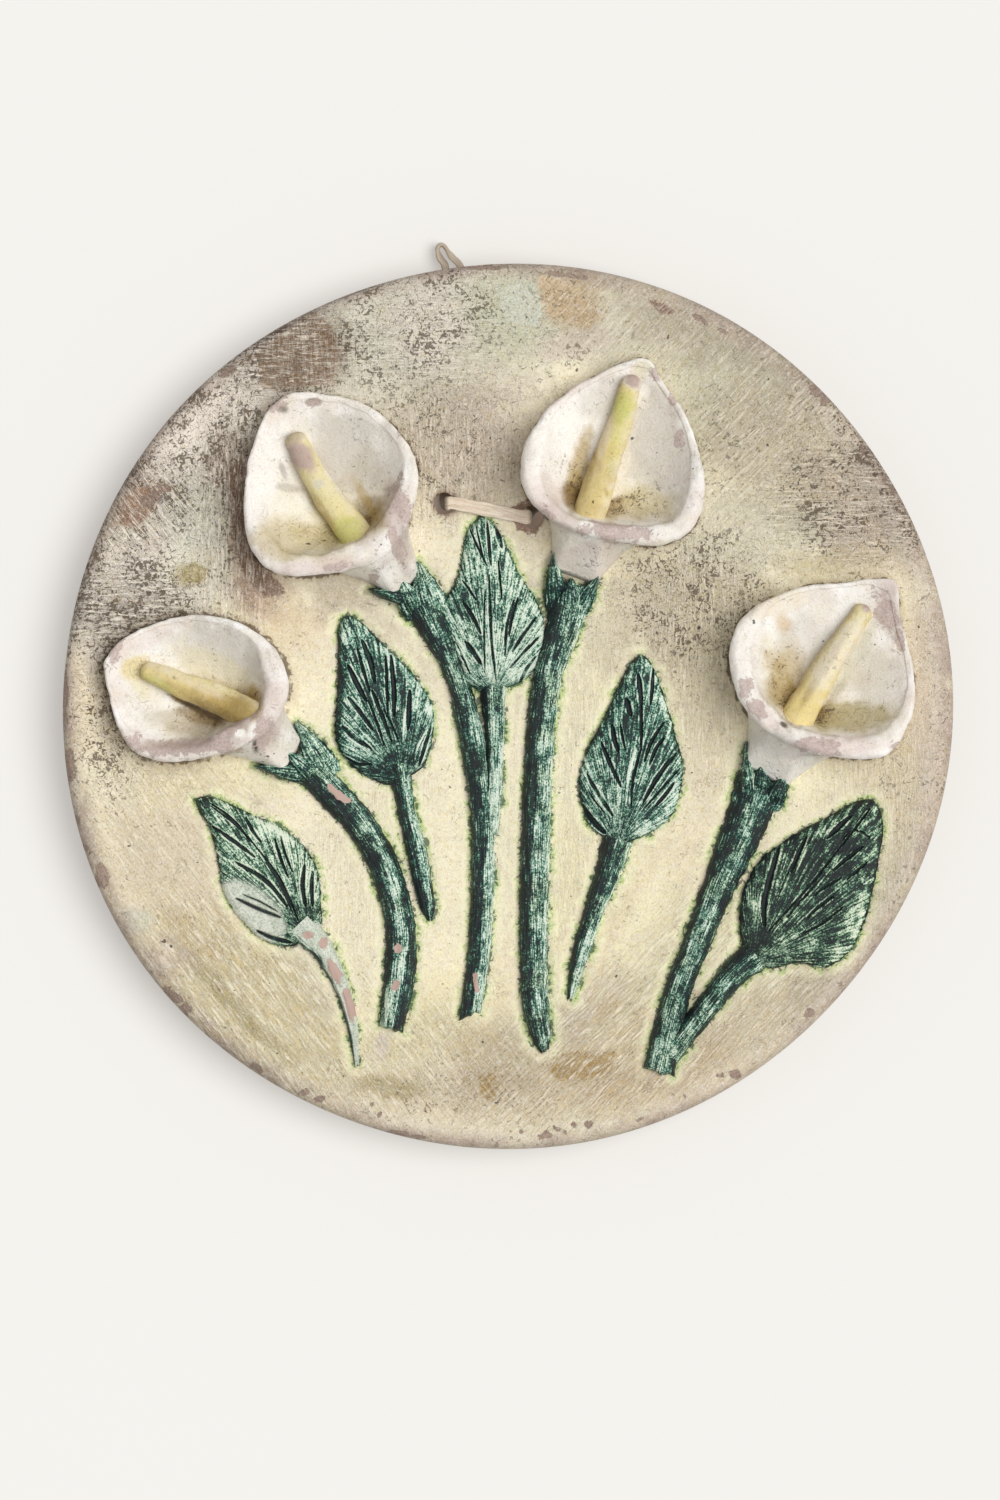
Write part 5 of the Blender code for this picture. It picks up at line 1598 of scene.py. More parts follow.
# Each stem: shares of the plate's radius down its middle with its width; where its dark
# left side ends and its dark right side starts, across it, at its top, middle and end;
# how bright it is between them; its right edge; how warm it is; and how its end slants
STEMS = {
    "upper_left_flower": {
        "line": ((-0.208, 0.262, 0.085), (-0.165, 0.180, 0.072), (-0.118, 0.075, 0.050),
                 (-0.082, -0.060, 0.056), (-0.056, -0.250, 0.052), (-0.056, -0.450, 0.052),
                 (-0.066, -0.580, 0.050), (-0.084, -0.700, 0.046)),
        "dark": (-0.5, 0.20, 0.15), "shadow": (0.5, 1.3, 1.3), "bright": (0.46, 0.60, 0.66),
        "edge": 0.80, "warm": 0.0, "slant": -0.0022,
    },
    "upper_right_flower": {
        "line": ((0.148, 0.275, 0.095), (0.128, 0.180, 0.078), (0.090, 0.060, 0.066),
                 (0.072, -0.120, 0.064), (0.062, -0.400, 0.066), (0.062, -0.640, 0.062),
                 (0.076, -0.740, 0.046), (0.086, -0.778, 0.018)),
        "dark": (-0.1, -0.15, -0.2), "shadow": (1.3, 1.3, 0.9), "bright": (0.36, 0.58, 0.42),
        "edge": 0.86, "warm": 0.12, "slant": 0.0,
    },
    "left_flower": {
        "line": ((-0.478, -0.115, 0.072), (-0.400, -0.190, 0.070), (-0.325, -0.275, 0.068),
                 (-0.270, -0.380, 0.068), (-0.240, -0.500, 0.068), (-0.244, -0.620, 0.070),
                 (-0.262, -0.728, 0.055)),
        "dark": (0.0, -0.05, -0.9), "shadow": (0.9, 0.50, 0.15), "bright": (0.52, 0.66, 0.80),
        "edge": 0.30, "warm": 0.04, "slant": 0.0004,
    },
    "right_flower": {
        "line": ((0.572, -0.170, 0.110), (0.535, -0.270, 0.095), (0.480, -0.400, 0.075),
                 (0.425, -0.540, 0.062), (0.380, -0.660, 0.062), (0.340, -0.825, 0.072)),
        "dark": (-0.1, -0.55, -0.7), "shadow": (0.5, 0.45, 0.7), "bright": (0.34, 0.56, 0.56),
        "edge": 0.34, "warm": 0.12, "slant": 0.0002,
    },
    "lower_left_leaf": {
        "line": ((-0.468, -0.490, 0.078), (-0.418, -0.545, 0.052), (-0.378, -0.620, 0.036),
                 (-0.350, -0.710, 0.026), (-0.338, -0.810, 0.010)),
        "dark": (-0.9, -0.5, -0.5), "shadow": (1.3, 1.3, 1.3), "bright": (0.9, 0.95, 0.9),
        "edge": 0.75, "warm": 0.1, "slant": 0.0,
    },
    "left_of_centre_leaf": {
        "line": ((-0.244, -0.130, 0.055), (-0.228, -0.230, 0.040), (-0.204, -0.330, 0.046),
                 (-0.182, -0.440, 0.038), (-0.174, -0.484, 0.010)),
        "dark": (-0.05, 0.0, 0.0), "shadow": (0.7, 1.0, 0.4), "bright": (0.60, 0.78, 0.60),
        "edge": 0.55, "warm": 0.0, "slant": 0.0,
    },
    "centre_leaf": {
        "line": ((-0.032, 0.045, 0.060), (-0.028, -0.080, 0.042), (-0.032, -0.200, 0.042),
                 (-0.038, -0.290, 0.036)),
        "dark": (-0.35, -0.5, -0.7), "shadow": (1.3, 1.3, 1.3), "bright": (0.56, 0.72, 0.84),
        "edge": 0.95, "warm": 0.15, "slant": 0.0,
    },
    "right_of_centre_leaf": {
        "line": ((0.250, -0.300, 0.072), (0.226, -0.380, 0.056), (0.190, -0.480, 0.044),
                 (0.160, -0.580, 0.036), (0.143, -0.660, 0.014)),
        "dark": (0.0, 0.05, -0.3), "shadow": (1.3, 1.3, 1.3), "bright": (0.46, 0.60, 0.85),
        "edge": 0.88, "warm": 0.15, "slant": 0.0,
    },
    "lower_right_leaf": {
        "line": ((0.560, -0.560, 0.075), (0.505, -0.610, 0.060), (0.440, -0.690, 0.054),
                 (0.362, -0.790, 0.050)),
        "dark": (-0.2, -0.3, -0.6), "shadow": (0.9, 0.6, 0.9), "bright": (0.46, 0.52, 0.66),
        "edge": 0.62, "warm": 0.2, "slant": 0.0,
    },
}
STEM_CHIPS = {
    "left_flower": ((341, 796, 5, 12, 50), (332, 788, 4, 6, 30), (396, 985, 5, 7, 0),
                    (398, 948, 4, 6, 0)),
    "upper_left_flower": ((476, 982, 4, 9, 0),),
    "lower_left_leaf": ((335, 970, 5, 14, 22), (349, 1002, 5, 17, 12),
                        (324, 942, 5, 6, 0), (309, 935, 6, 4, 0)),
}


def stem_ribs(along, side, seed):
    """Noise drawn out along a stem, for the grooves that a tool left in it."""
    return grains(np.stack((along * 0.10, side * 0.0026), axis=1), 0.0009, seed + 2)


def stem(key, given):
    """A half-round stem in relief."""
    line = smooth(np.array(given["line"]) * PLATE_RADIUS, 24)
    length = whole_length(line[:, :2])
    rows, columns = max(60, int(length / STEM_STEP)), STEM_COLUMNS
    line = evenly(line, rows)
    ahead = heading(line[:, :2])
    across = np.stack((-ahead[:, 1], ahead[:, 0]), axis=1) * line[:, 2:] / 2
    right, left = line[:, :2] + across, line[:, :2] - across
    GREEN_EDGES.extend((right, left))
    seed = 300 + 7 * sorted(STEMS).index(key)
    ragged = [0.09 * grains(side, 0.0018, seed + k)[:, None]
              for k, side in enumerate((right, left))]
    s = np.linspace(-1, 1, columns)
    t = np.linspace(0, 1, rows)
    stretch = 1 + np.where(s[None] > 0, *ragged) * np.abs(s) ** 3
    places = line[:, None, :2] + across[:, None] * (s[None] * stretch)[..., None]
    frayed = 0.0009 * grain(np.stack((s * 0.004, s * 0), axis=1), 0.0011, seed + 4)
    near_end = eased(0.0, 1.0, 1 - (1 - t) * length / 0.006)
    reach_on = (given["slant"] * s + frayed)[None] * near_end[:, None]
    places = places + ahead[:, None] * reach_on[..., None]
    height = np.minimum(STEM_RELIEF, line[:, 2] * 0.55)
    ends = np.sqrt(np.clip((1 - t) * length / 0.0012, 0, 1))
    profile = np.interp(s, (-1, -0.9, -0.55, 0.05, 0.6, 0.9, 1),
                        (0.15, 0.45, 0.86, 1.0, 0.84, 0.45, 0.15))
    flat = places.reshape(-1, 2)
    ribs = stem_ribs(np.repeat(t * length, columns), np.tile(s, rows), seed)
    rise = (height * ends)[:, None] * profile[None]
    rise = rise + (0.00026 * ribs + 0.00028 * grains(flat, 0.003, seed + 3)).reshape(rise.shape)
    ob = relief(f"stem_{key}", places, rise, foot=True)
    where = corners(ob)[:, [0, 2]]
    side = np.tile(np.concatenate(([s[0]], s, [s[-1]])), rows + 1)
    share = np.repeat(np.append(t, 1.0), columns + 2)
    along = share * length
    wander = 0.30 * grains(np.stack((along, along * 0), axis=1), 0.008, seed + 5)
    dark, shadow, bright = (np.interp(share, (0, 0.5, 1), given[k])
                            for k in ("dark", "shadow", "bright"))
    # The dark left side is partly the paint's own and partly painted shade, and the bright right
    # side partly painted light, as the light comes from the right; the far left edge is darkened
    # further as painted shade.
    tone = 0.04 + (bright - 0.04) * eased(dark - 0.14, dark + 0.14, side + wander)
    tone += (given["edge"] - tone) * eased(0.55, 0.90, side + 0.5 * wander) * (shadow > 1)
    tone += (0.14 - tone) * eased(shadow - 0.10, shadow + 0.15, side + wander) * (shadow < 1.2)
    tone -= 0.25 * eased(0.93, 1.0, -side)
    tone += 0.26 * stem_ribs(along, side, seed) + 0.14 * grains(where, 0.0035, seed + 6)
    warm = np.clip(given["warm"] + 0.3 * grains(where, 0.006, seed + 7), 0, 1)
    pale = eased(-0.9, -0.3, side + wander) * (0.85 if key == "lower_left_leaf" else 0.0)
    strand = np.stack((along * STEM_STREAKS[0], side * line[:, 2].mean() * STEM_STREAKS[1],
                       along * 0), axis=1)
    chip = chipped(where, STEM_CHIPS.get(key, ()), seed)
    paint_green(ob, tone, warm, strand, pale, chip)


for stem_name, stem_shape in STEMS.items():
    stem(stem_name, stem_shape)

# Each sepal: its root on the stem, its tip and its width in shares of the plate's
# radius, and its tone
SEPALS = (
    ((-0.190, 0.235), (-0.312, 0.262), 0.040, 0.26),
    ((-0.200, 0.200), (-0.243, 0.292), 0.062, 0.36),
    ((-0.160, 0.190), (-0.203, 0.325), 0.080, 0.50),
    ((0.110, 0.215), (0.104, 0.345), 0.048, 0.22),
    ((0.145, 0.205), (0.143, 0.288), 0.070, 0.34),
    ((0.155, 0.210), (0.206, 0.292), 0.050, 0.32),
    ((-0.440, -0.160), (-0.570, -0.135), 0.038, 0.34),
    ((-0.420, -0.175), (-0.502, -0.098), 0.050, 0.30),
    ((-0.400, -0.160), (-0.475, -0.036), 0.070, 0.50),
    ((0.548, -0.240), (0.538, -0.080), 0.042, 0.40),
    ((0.570, -0.210), (0.572, -0.128), 0.052, 0.20),
    ((0.590, -0.230), (0.634, -0.143), 0.052, 0.16),
)
SEPAL_STATIONS = (0.0, 0.08, 0.25, 0.45, 0.65, 0.85, 1.0)
SEPAL_WIDTHS = (0.8, 0.95, 1.0, 0.9, 0.65, 0.35, 0.08)


def sepal(number, root, tip, width, level):
    """A small pointed blade at the head of a stem."""
    root, tip = np.array(root) * PLATE_RADIUS, np.array(tip) * PLATE_RADIUS
    t = np.linspace(0, 1, SEPAL_ROWS)
    s = np.linspace(-1, 1, SEPAL_COLUMNS)
    along = tip - root
    length = np.linalg.norm(along)
    across = np.array((along[1], -along[0])) / length
    half = width * PLATE_RADIUS / 2 * np.interp(t, SEPAL_STATIONS, SEPAL_WIDTHS)
    seed = 400 + 5 * number
    places = root + along * t[:, None, None] + across * (half[:, None] * s[None])[..., None]
    flat = places.reshape(-1, 2)
    jag = 0.00040 * grains(flat, 0.0015, seed) * np.tile(np.abs(s) ** 3, SEPAL_ROWS)
    places = places + (across * jag[:, None]).reshape(places.shape)
    GREEN_EDGES.extend((places[:, 0], places[:, -1]))
    rise = SEPAL_RELIEF * (1 - 0.40 * s[None] ** 2 - 0.12 * (2 * t[:, None] - 1) ** 2)
    rise = rise * (0.35 + 0.65 * eased(0.0, 0.45, t))[:, None]
    rib = 0.0003 * np.exp(-(s[None] / 0.14) ** 2) * (1 - t[:, None])
    rise = rise - rib + 0.0003 * grains(flat, 0.002, seed + 1).reshape(rise.shape)
    ob = relief(f"sepal_{number + 1}", places, rise, head=True, foot=True)
    where = corners(ob)[:, [0, 2]]
    side = np.tile(np.concatenate(([-1], s, [1])), SEPAL_ROWS + 2)
    up = np.repeat(np.concatenate(([0], t, [1])), SEPAL_COLUMNS + 2)
    # The right half is lighter, partly painted light, as the light comes from the right; the edges
    # are darker.
    tone = level + 0.24 * eased(-0.1, 0.6, side) - 0.25 * eased(0.8, 1.0, np.abs(side))
    tone += 0.24 * grains(where, 0.0022, seed + 2)
    warm = np.clip(0.05 + 0.3 * grains(where, 0.004, seed + 3), 0, 1)
    strand = np.stack((up * length * SEPAL_STREAKS[0], side * half.max() * SEPAL_STREAKS[1],
                       up * 0), axis=1)
    paint_green(ob, tone, warm, strand)


for sepal_number, sepal_shape in enumerate(SEPALS):
    sepal(sepal_number, *sepal_shape)

# Brushed colour over the dish, in the photograph's frame
GROUND_DABS = (
    (640, 860, 330, 260, 20, "yellow", 0.55), (400, 780, 160, 200, 0, "cream", 0.75),
    (540, 860, 60, 200, 0, "cream", 0.7), (170, 860, 90, 110, -30, "sand", 0.75),
    (250, 1010, 130, 60, -40, "straw", 0.75), (470, 1095, 150, 36, 0, "sand", 0.7),
    (640, 1060, 110, 50, 12, "tan", 0.40), (430, 620, 120, 90, 0, "stone", 0.35),
    (330, 340, 210, 90, 24, "chalk", 0.85), (200, 460, 110, 130, 50, "chalk", 0.85),
    (120, 600, 70, 110, 70, "chalk", 0.85), (100, 700, 50, 80, 80, "sand", 0.8),
    (430, 350, 120, 70, 0, "sage", 0.7), (520, 310, 60, 50, 0, "green", 0.7),
    (440, 440, 80, 60, 0, "stone", 0.65), (470, 470, 70, 50, 0, "rose", 0.45),
    (600, 330, 60, 40, 0, "sage", 0.55), (740, 400, 80, 90, -20, "green", 0.55),
    (700, 330, 90, 36, -24, "stone", 0.7), (820, 400, 60, 70, -40, "stone", 0.7),
    (870, 500, 70, 70, 0, "rose", 0.75), (780, 460, 80, 60, -30, "sand", 0.55),
    (700, 600, 80, 70, 0, "stone", 0.60), (620, 620, 60, 60, 0, "stone", 0.45),
    (740, 530, 80, 40, 0, "sage", 0.45), (830, 565, 50, 16, 0, "olive", 0.45),
    (900, 760, 60, 110, 10, "sand", 0.75), (860, 940, 80, 100, -30, "stone", 0.55),
    (760, 1040, 110, 50, 30, "sand", 0.65), (800, 800, 60, 50, 0, "cream", 0.6),
    (300, 355, 42, 36, 16, "brown", 0.85), (570, 300, 34, 28, -30, "tan", 0.85),
    (575, 345, 40, 14, 10, "rose", 0.6), (140, 500, 34, 20, 40, "rust", 0.75),
    (246, 545, 16, 60, 10, "rust", 0.70), (232, 470, 22, 50, 0, "grey", 0.55),
    (190, 575, 18, 12, 0, "olive", 0.7), (120, 610, 34, 14, 14, "grey", 0.5),
    (262, 590, 30, 30, -30, "rust", 0.55), (296, 620, 34, 24, -30, "tan", 0.5),
    (105, 690, 14, 60, 6, "grey", 0.45), (390, 1086, 36, 10, -6, "olive", 0.65),
    (520, 590, 26, 60, 0, "stone", 0.5), (560, 570, 16, 40, 0, "tan", 0.35),
    (880, 560, 40, 20, 0, "sand", 0.5), (660, 1075, 70, 26, 16, "tan", 0.45),
    (230, 780, 110, 24, 8, "yellow", 0.5), (330, 860, 70, 60, 30, "cream", 0.6),
    (420, 1020, 80, 40, 20, "straw", 0.6), (720, 760, 70, 80, 0, "cream", 0.55),
    (350, 600, 60, 30, -20, "stone", 0.5), (590, 510, 50, 30, 0, "stone", 0.4),
    (400, 560, 40, 60, 0, "cream", 0.6), (470, 560, 40, 40, 0, "cream", 0.5),
    (700, 690, 40, 90, 0, "sand", 0.4), (490, 410, 60, 40, 20, "rose", 0.35),
    (200, 440, 60, 44, 46, "blush", 0.85), (258, 372, 18, 36, 20, "blush", 0.8),
    (180, 510, 60, 22, 50, "blush", 0.7), (130, 640, 40, 40, 0, "blush", 0.6),
    (232, 470, 30, 40, 0, "mushroom", 0.75), (218, 985, 60, 8, -46, "olive", 0.5),
    (258, 1030, 60, 7, -42, "olive", 0.45), (290, 985, 70, 8, -50, "straw", 0.7),
    (190, 930, 40, 9, -44, "tan", 0.35), (382, 1043, 6, 17, -8, "blush", 0.8),
    (560, 960, 34, 26, 20, "rose", 0.35), (600, 985, 30, 30, 0, "sand", 0.6),
    (610, 1010, 14, 12, 0, "bronze", 0.35), (135, 920, 18, 14, 0, "mint", 0.7),
    (172, 955, 22, 18, -30, "rose", 0.6), (700, 1000, 50, 22, 40, "sand", 0.6),
    (345, 592, 30, 26, 0, "stone", 0.6), (735, 425, 50, 44, -20, "stone", 0.45),
    (820, 1000, 36, 26, 30, "stone", 0.4), (205, 400, 40, 30, 50, "blush", 0.8),
    (168, 476, 26, 20, 50, "blush", 0.75), (196, 520, 30, 40, 0, "mint", 0.6),
    (128, 565, 40, 26, 50, "blush", 0.7), (180, 400, 30, 9, 50, "rose", 0.7),
    (150, 440, 34, 9, 54, "rose", 0.6), (110, 520, 30, 9, 60, "rose", 0.6),
    (505, 1000, 20, 70, 0, "tan", 0.25), (610, 930, 12, 90, -30, "tan", 0.3),
    (575, 1005, 16, 40, 0, "rose", 0.4), (480, 1060, 30, 40, 20, "tan", 0.35),
    (700, 825, 60, 80, 0, "sand", 0.55), (560, 900, 36, 90, 0, "yellow", 0.6),
    (925, 700, 16, 120, 0, "rose", 0.6), (430, 330, 40, 40, 0, "blush", 0.6),
    (520, 300, 16, 20, 0, "mint", 0.5), (470, 1098, 40, 20, 0, "sand", 0.5),
)
# Patches that were brushed on with crisp edges
PATCHES = (
    ("brown", ((258, 350), (290, 330), (318, 313), (333, 328), (342, 360), (330, 385),
               (275, 392), (262, 388))),
    ("rust", ((118, 516), (126, 496), (150, 484), (161, 490), (156, 506), (147, 520),
              (135, 530), (120, 526))),
    ("rust", ((162, 487), (172, 483), (180, 488), (172, 493))),
    ("tan", ((538, 276), (560, 282), (584, 300), (599, 318), (588, 331), (566, 322),
             (548, 317), (542, 298))),
    ("mint", ((497, 288), (536, 284), (543, 316), (538, 330), (505, 322))),
    ("chip", ((646, 300), (662, 303), (676, 314), (668, 318), (655, 312))),
    ("chip", ((228, 470), (246, 452), (247, 500), (250, 530), (262, 560), (288, 594),
              (264, 598), (242, 572), (232, 530))),
    ("chip", ((510, 508), (530, 498), (543, 520), (536, 536), (515, 530))),
    ("olive", ((180, 570), (196, 562), (208, 570), (204, 582), (186, 584))),
    ("bronze", ((545, 1062), (568, 1050), (617, 1050), (612, 1070), (584, 1081), (553, 1078))),
    ("bronze", ((478, 1074), (494, 1070), (504, 1086), (492, 1102), (480, 1096))),
)
# How far grime and painted shade reach round each cup's foot
CUP_DIRT_AND_SHADE = {"upper_left": 0.6, "upper_right": 0.5, "left": 1.2, "right": 0.6}
# How much dark wash is left in the grain
GROUND_WASH = (
    (210, 420, 150, 110, 50, 0.75), (400, 330, 130, 60, 20, 0.60), (130, 600, 90, 90, 60, 0.75),
    (290, 350, 50, 40, 16, 0.55), (450, 440, 90, 80, 0, 0.45), (700, 600, 90, 80, -20, 0.65),
    (850, 490, 90, 80, -30, 0.65), (780, 440, 90, 60, 0, 0.30), (240, 540, 36, 90, 0, 0.5),
    (470, 1095, 90, 40, 0, 0.25), (110, 720, 40, 90, 6, 0.65), (540, 330, 60, 70, 0, 0.35),
    (640, 560, 70, 40, 0, 0.40), (900, 700, 40, 200, 0, 0.20), (650, 460, 300, 60, 0, 0.20),
)
# Which way the brush ran: an oval, 0 to 3 for level, falling, rising and upright strokes,
# and their weight
GROUND_WAYS = (
    (290, 350, 70, 50, 16, 0, 0.8), (310, 350, 50, 44, 0, 3, 0.45),
    (130, 610, 60, 50, 0, 0, 0.7), (150, 510, 60, 40, 40, 1, 0.8),
    (240, 520, 50, 110, 0, 3, 0.7), (260, 1000, 150, 90, -40, 1, 0.75),
    (420, 340, 110, 60, 0, 0, 0.35), (450, 460, 80, 70, 0, 3, 0.5), (860, 500, 100, 60, 0, 0, 0.65),
    (760, 420, 80, 120, -20, 2, 0.5), (620, 1040, 170, 70, 20, 2, 0.75),
    (740, 960, 140, 90, 40, 2, 0.65), (560, 780, 80, 180, 0, 3, 0.35),
    (430, 1060, 120, 60, 0, 1, 0.55), (700, 650, 60, 120, 0, 3, 0.45),
    (180, 830, 120, 90, -40, 1, 0.45), (370, 850, 60, 120, -20, 3, 0.3),
    (640, 330, 120, 50, -20, 2, 0.45), (870, 820, 60, 140, -10, 3, 0.35),
)
# Where the rim's paint has chipped off
RIM_CHIPS = (
    (104, 878, 7, 11, 0), (70, 762, 6, 18, 0), (87, 848, 4, 4, 0), (78, 820, 3, 5, 0),
    (250, 1108, 12, 4, -28), (258, 1068, 8, 4, -30), (303, 1092, 8, 3, 14), (320, 1098, 6, 3, 14),
    (374, 1104, 4, 4, 0), (380, 1112, 3, 4, 0), (398, 1132, 12, 3, -6), (420, 1136, 10, 2, -4),
    (545, 1134, 7, 4, 10), (556, 1127, 7, 3, -20), (574, 1123, 3, 4, 0), (588, 1123, 4, 5, 0),
    (566, 1131, 4, 2, 0), (522, 1130, 2, 2, 0), (684, 1095, 4, 2, -20), (734, 1073, 7, 5, -40),
    (640, 1118, 6, 2, 10), (700, 321, 9, 3, -34), (720, 332, 7, 2, -34), (816, 389, 5, 9, -46),
    (825, 400, 5, 7, -46), (862, 450, 3, 6, 0), (884, 480, 3, 5, 0),
    (228, 372, 12, 5, 40), (344, 296, 26, 4, 24), (484, 268, 30, 3, 0),
    (560, 276, 24, 3, -8), (176, 997, 12, 6, -50), (186, 1008, 8, 6, -50), (720, 1075, 6, 5, 0),
    (808, 1012, 7, 5, 40), (852, 920, 3, 3, 0), (893, 490, 6, 5, 0), (900, 440, 8, 3, -50),
    (66, 700, 3, 30, 0), (150, 500, 10, 7, 30), (166, 488, 8, 5, 0),
)


def rim_profile():
    """The dish's half section: distance from its axis and depth, front to back,
    and how many of its points lie on the face."""
    crest = float(front_depth(DISH_RADIUS)) + RIM_LIFT
    rim_back = float(back_depth(PLATE_RADIUS))
    inner = np.linspace(0.009, 0.99, 108) * DISH_RADIUS
    front = np.stack((inner, front_depth(inner)), axis=1)
    rim = smooth((
        (0.97 * DISH_RADIUS, front_depth(0.97 * DISH_RADIUS)),
        (0.99 * DISH_RADIUS, front_depth(0.99 * DISH_RADIUS)),
        (PLATE_RADIUS - RIM_BAND * 0.70, crest - RIM_LIFT * 0.15),
        (PLATE_RADIUS - RIM_ROUND, crest),
        (PLATE_RADIUS - RIM_ROUND * 0.35, crest - RIM_ROUND * 0.35),
        (PLATE_RADIUS, (crest + rim_back) / 2),
        (PLATE_RADIUS - RIM_ROUND * 0.35, rim_back + RIM_ROUND * 0.35),
        (PLATE_RADIUS - RIM_ROUND, back_depth(PLATE_RADIUS - RIM_ROUND)),
        (PLATE_RADIUS - 2.5 * RIM_ROUND, back_depth(PLATE_RADIUS - 2.5 * RIM_ROUND)),
    ), 5)[6:]
    back = np.linspace(PLATE_RADIUS - 3.2 * RIM_ROUND, FOOT_RADIUS, 12)
    back = np.stack((back, back_depth(back)), axis=1)
    foot = np.array(((FOOT_RADIUS * 0.98, 0.0), (FOOT_RADIUS * 0.5, 0.0)))
    return np.vstack((front, rim, back, foot)), len(front)


def from_hole(flat, hole):
    """How far each place lies from the middle of a hole."""
    return np.linalg.norm(flat - np.array(hole) * PLATE_RADIUS, axis=1)


def dish():
    """The plate itself: its painted hollow, its worn rim and its plain clay back."""
    profile, front_rows = rim_profile()
    count = DISH_SECTORS
    angle = around(count)
    uneven = np.sin(2 * angle + 0.6) + 0.5 * np.sin(5 * angle + 2.0)
    radius = np.repeat(profile[:, :1], count, axis=1)
    share = np.maximum(0.0, radius - 0.8 * PLATE_RADIUS) / (0.2 * PLATE_RADIUS)
    grown = radius + EDGE_WOBBLE * share * uneven[None]
    places = np.stack((grown * np.cos(angle), grown * np.sin(angle)), axis=-1)
    depth = np.repeat(profile[:, 1:], count, axis=1)
    flat = places.reshape(-1, 2)
    hand = 0.00030 * grains(flat, 0.022, 3) + 0.00010 * grains(flat, 0.005, 6)
    edge_hand = 0.00035 * grains(flat, 0.0045, 8)
    row = np.repeat(np.arange(len(profile)), count)
    rimness = eased(front_rows - 4, front_rows + 4, row)
    rimness *= 1 - eased(front_rows + 22, front_rows + 30, row)
    is_front = row < front_rows + 18
    change = np.where(is_front, hand + edge_hand * rimness, 0.0)
    tree = edge_tree(GREEN_EDGES)
    gap = np.full(len(flat), 1.0)
    inner = row < front_rows
    gap[inner] = gaps(tree, flat[inner])
    change -= 0.0004 * np.exp(-(gap / 0.0013) ** 2)
    for hole in (LEFT_HOLE, RIGHT_HOLE):
        away = from_hole(flat, hole)
        dip = 1 - eased(HOLE_DIAMETER / 2, HOLE_DIAMETER / 2 + 0.0014, away)
        change -= np.where(is_front, 0.0006 * dip, 0)
    chip = chipped(flat, RIM_CHIPS, 12)
    change -= np.where(is_front, 0.00035 * eased(0.0, 0.2, chip), 0)
    depth = depth.ravel() + change
    points = np.stack((flat[:, 0], -depth, flat[:, 1]), axis=1).reshape(len(profile), count, 3)
    ob = grid_mesh("plate_dish", points, closed=True, first=(0, -float(front_depth(0.0)), 0),
                   last=(0, 0, 0), flip=True)
    cut_holes(ob)
    paint_dish(ob, tree)
    return placed(ob, DISH_PAINT, "painted_clay", "plate")


def cut_holes(ob):
    """Cuts the two holes for the lace."""
    before, past = 0.004, -0.020
    turn = around(HOLE_SIDES)
    radius = HOLE_DIAMETER / 2 * (1 + 0.05 * np.sin(3 * turn + 1) + 0.03 * np.sin(5 * turn))
    for name, hole in (("left", LEFT_HOLE), ("right", RIGHT_HOLE)):
        x, z = np.array(hole) * PLATE_RADIUS
        ring = np.stack((x + radius * np.cos(turn), turn * 0, z + radius * np.sin(turn)), axis=1)
        rings = np.stack([ring + (0, y, 0) for y in np.linspace(before, past, 8)])
        tool = grid_mesh(f"tool_{name}", rings, closed=True, first=(x, before, z),
                         last=(x, past, z))
        modifier = ob.modifiers.new(name, "BOOLEAN")
        modifier.operation = "DIFFERENCE"
        modifier.solver = "EXACT"
        modifier.object = tool
        evaluated = ob.evaluated_get(bpy.context.evaluated_depsgraph_get())
        made = bpy.data.meshes.new_from_object(evaluated)
        ob.modifiers.clear()
        ob.data = made
        bpy.data.objects.remove(tool)
    ob.data.shade_smooth()
    ob.data.set_sharp_from_angle(angle=math.radians(60))


def beside_cups(flat, under):
    """How far each place of the face lies from the nearest cup's outline in millimetres,
    less where more grime and painted shade gather."""
    beside = np.full(len(flat), FAR)
    for name, dirt_and_shade in CUP_DIRT_AND_SHADE.items():
        outside = -within(flat, measured(FLOWERS[name])["outline"]) * 1000
        beside = np.minimum(beside, np.where(under, FAR, np.maximum(outside, 0) / dirt_and_shade))
    return beside


def crisp_patches(flat, under):
    """How far inside a crisp patch each place of the face lies, and the patch's colour."""
    patch, patch_paint = np.full(len(flat), NO_PATCH), np.zeros((len(flat), 3))
    for name, shape in PATCHES:
        inside_by = np.clip(within(flat, at(shape)) / 0.0012, NO_PATCH, -NO_PATCH)
        patch_paint[inside_by > patch] = linear(PALETTE[name])
        patch = np.maximum(patch, inside_by)
    return np.where(under, NO_PATCH, patch), patch_paint


def painted_rim(flat, ground, rim):
    """The ground with the rim's paint worn down to clay, paler on its lit crest."""
    worn = np.clip(0.70 + 0.5 * grains(flat, 0.010, 28), 0, 1) * rim
    ground = mixed(ground, "worn_rim", 0.92 * worn)
    radius = np.hypot(flat[:, 0], flat[:, 1])
    crest = np.exp(-((radius - PLATE_RADIUS + 0.0052) / 0.0022) ** 2)
    facing = eased(-0.4, 0.6, (flat[:, 0] - flat[:, 1]) / PLATE_RADIUS)
    return mixed(ground, "lit_rim", 0.28 * crest * facing)


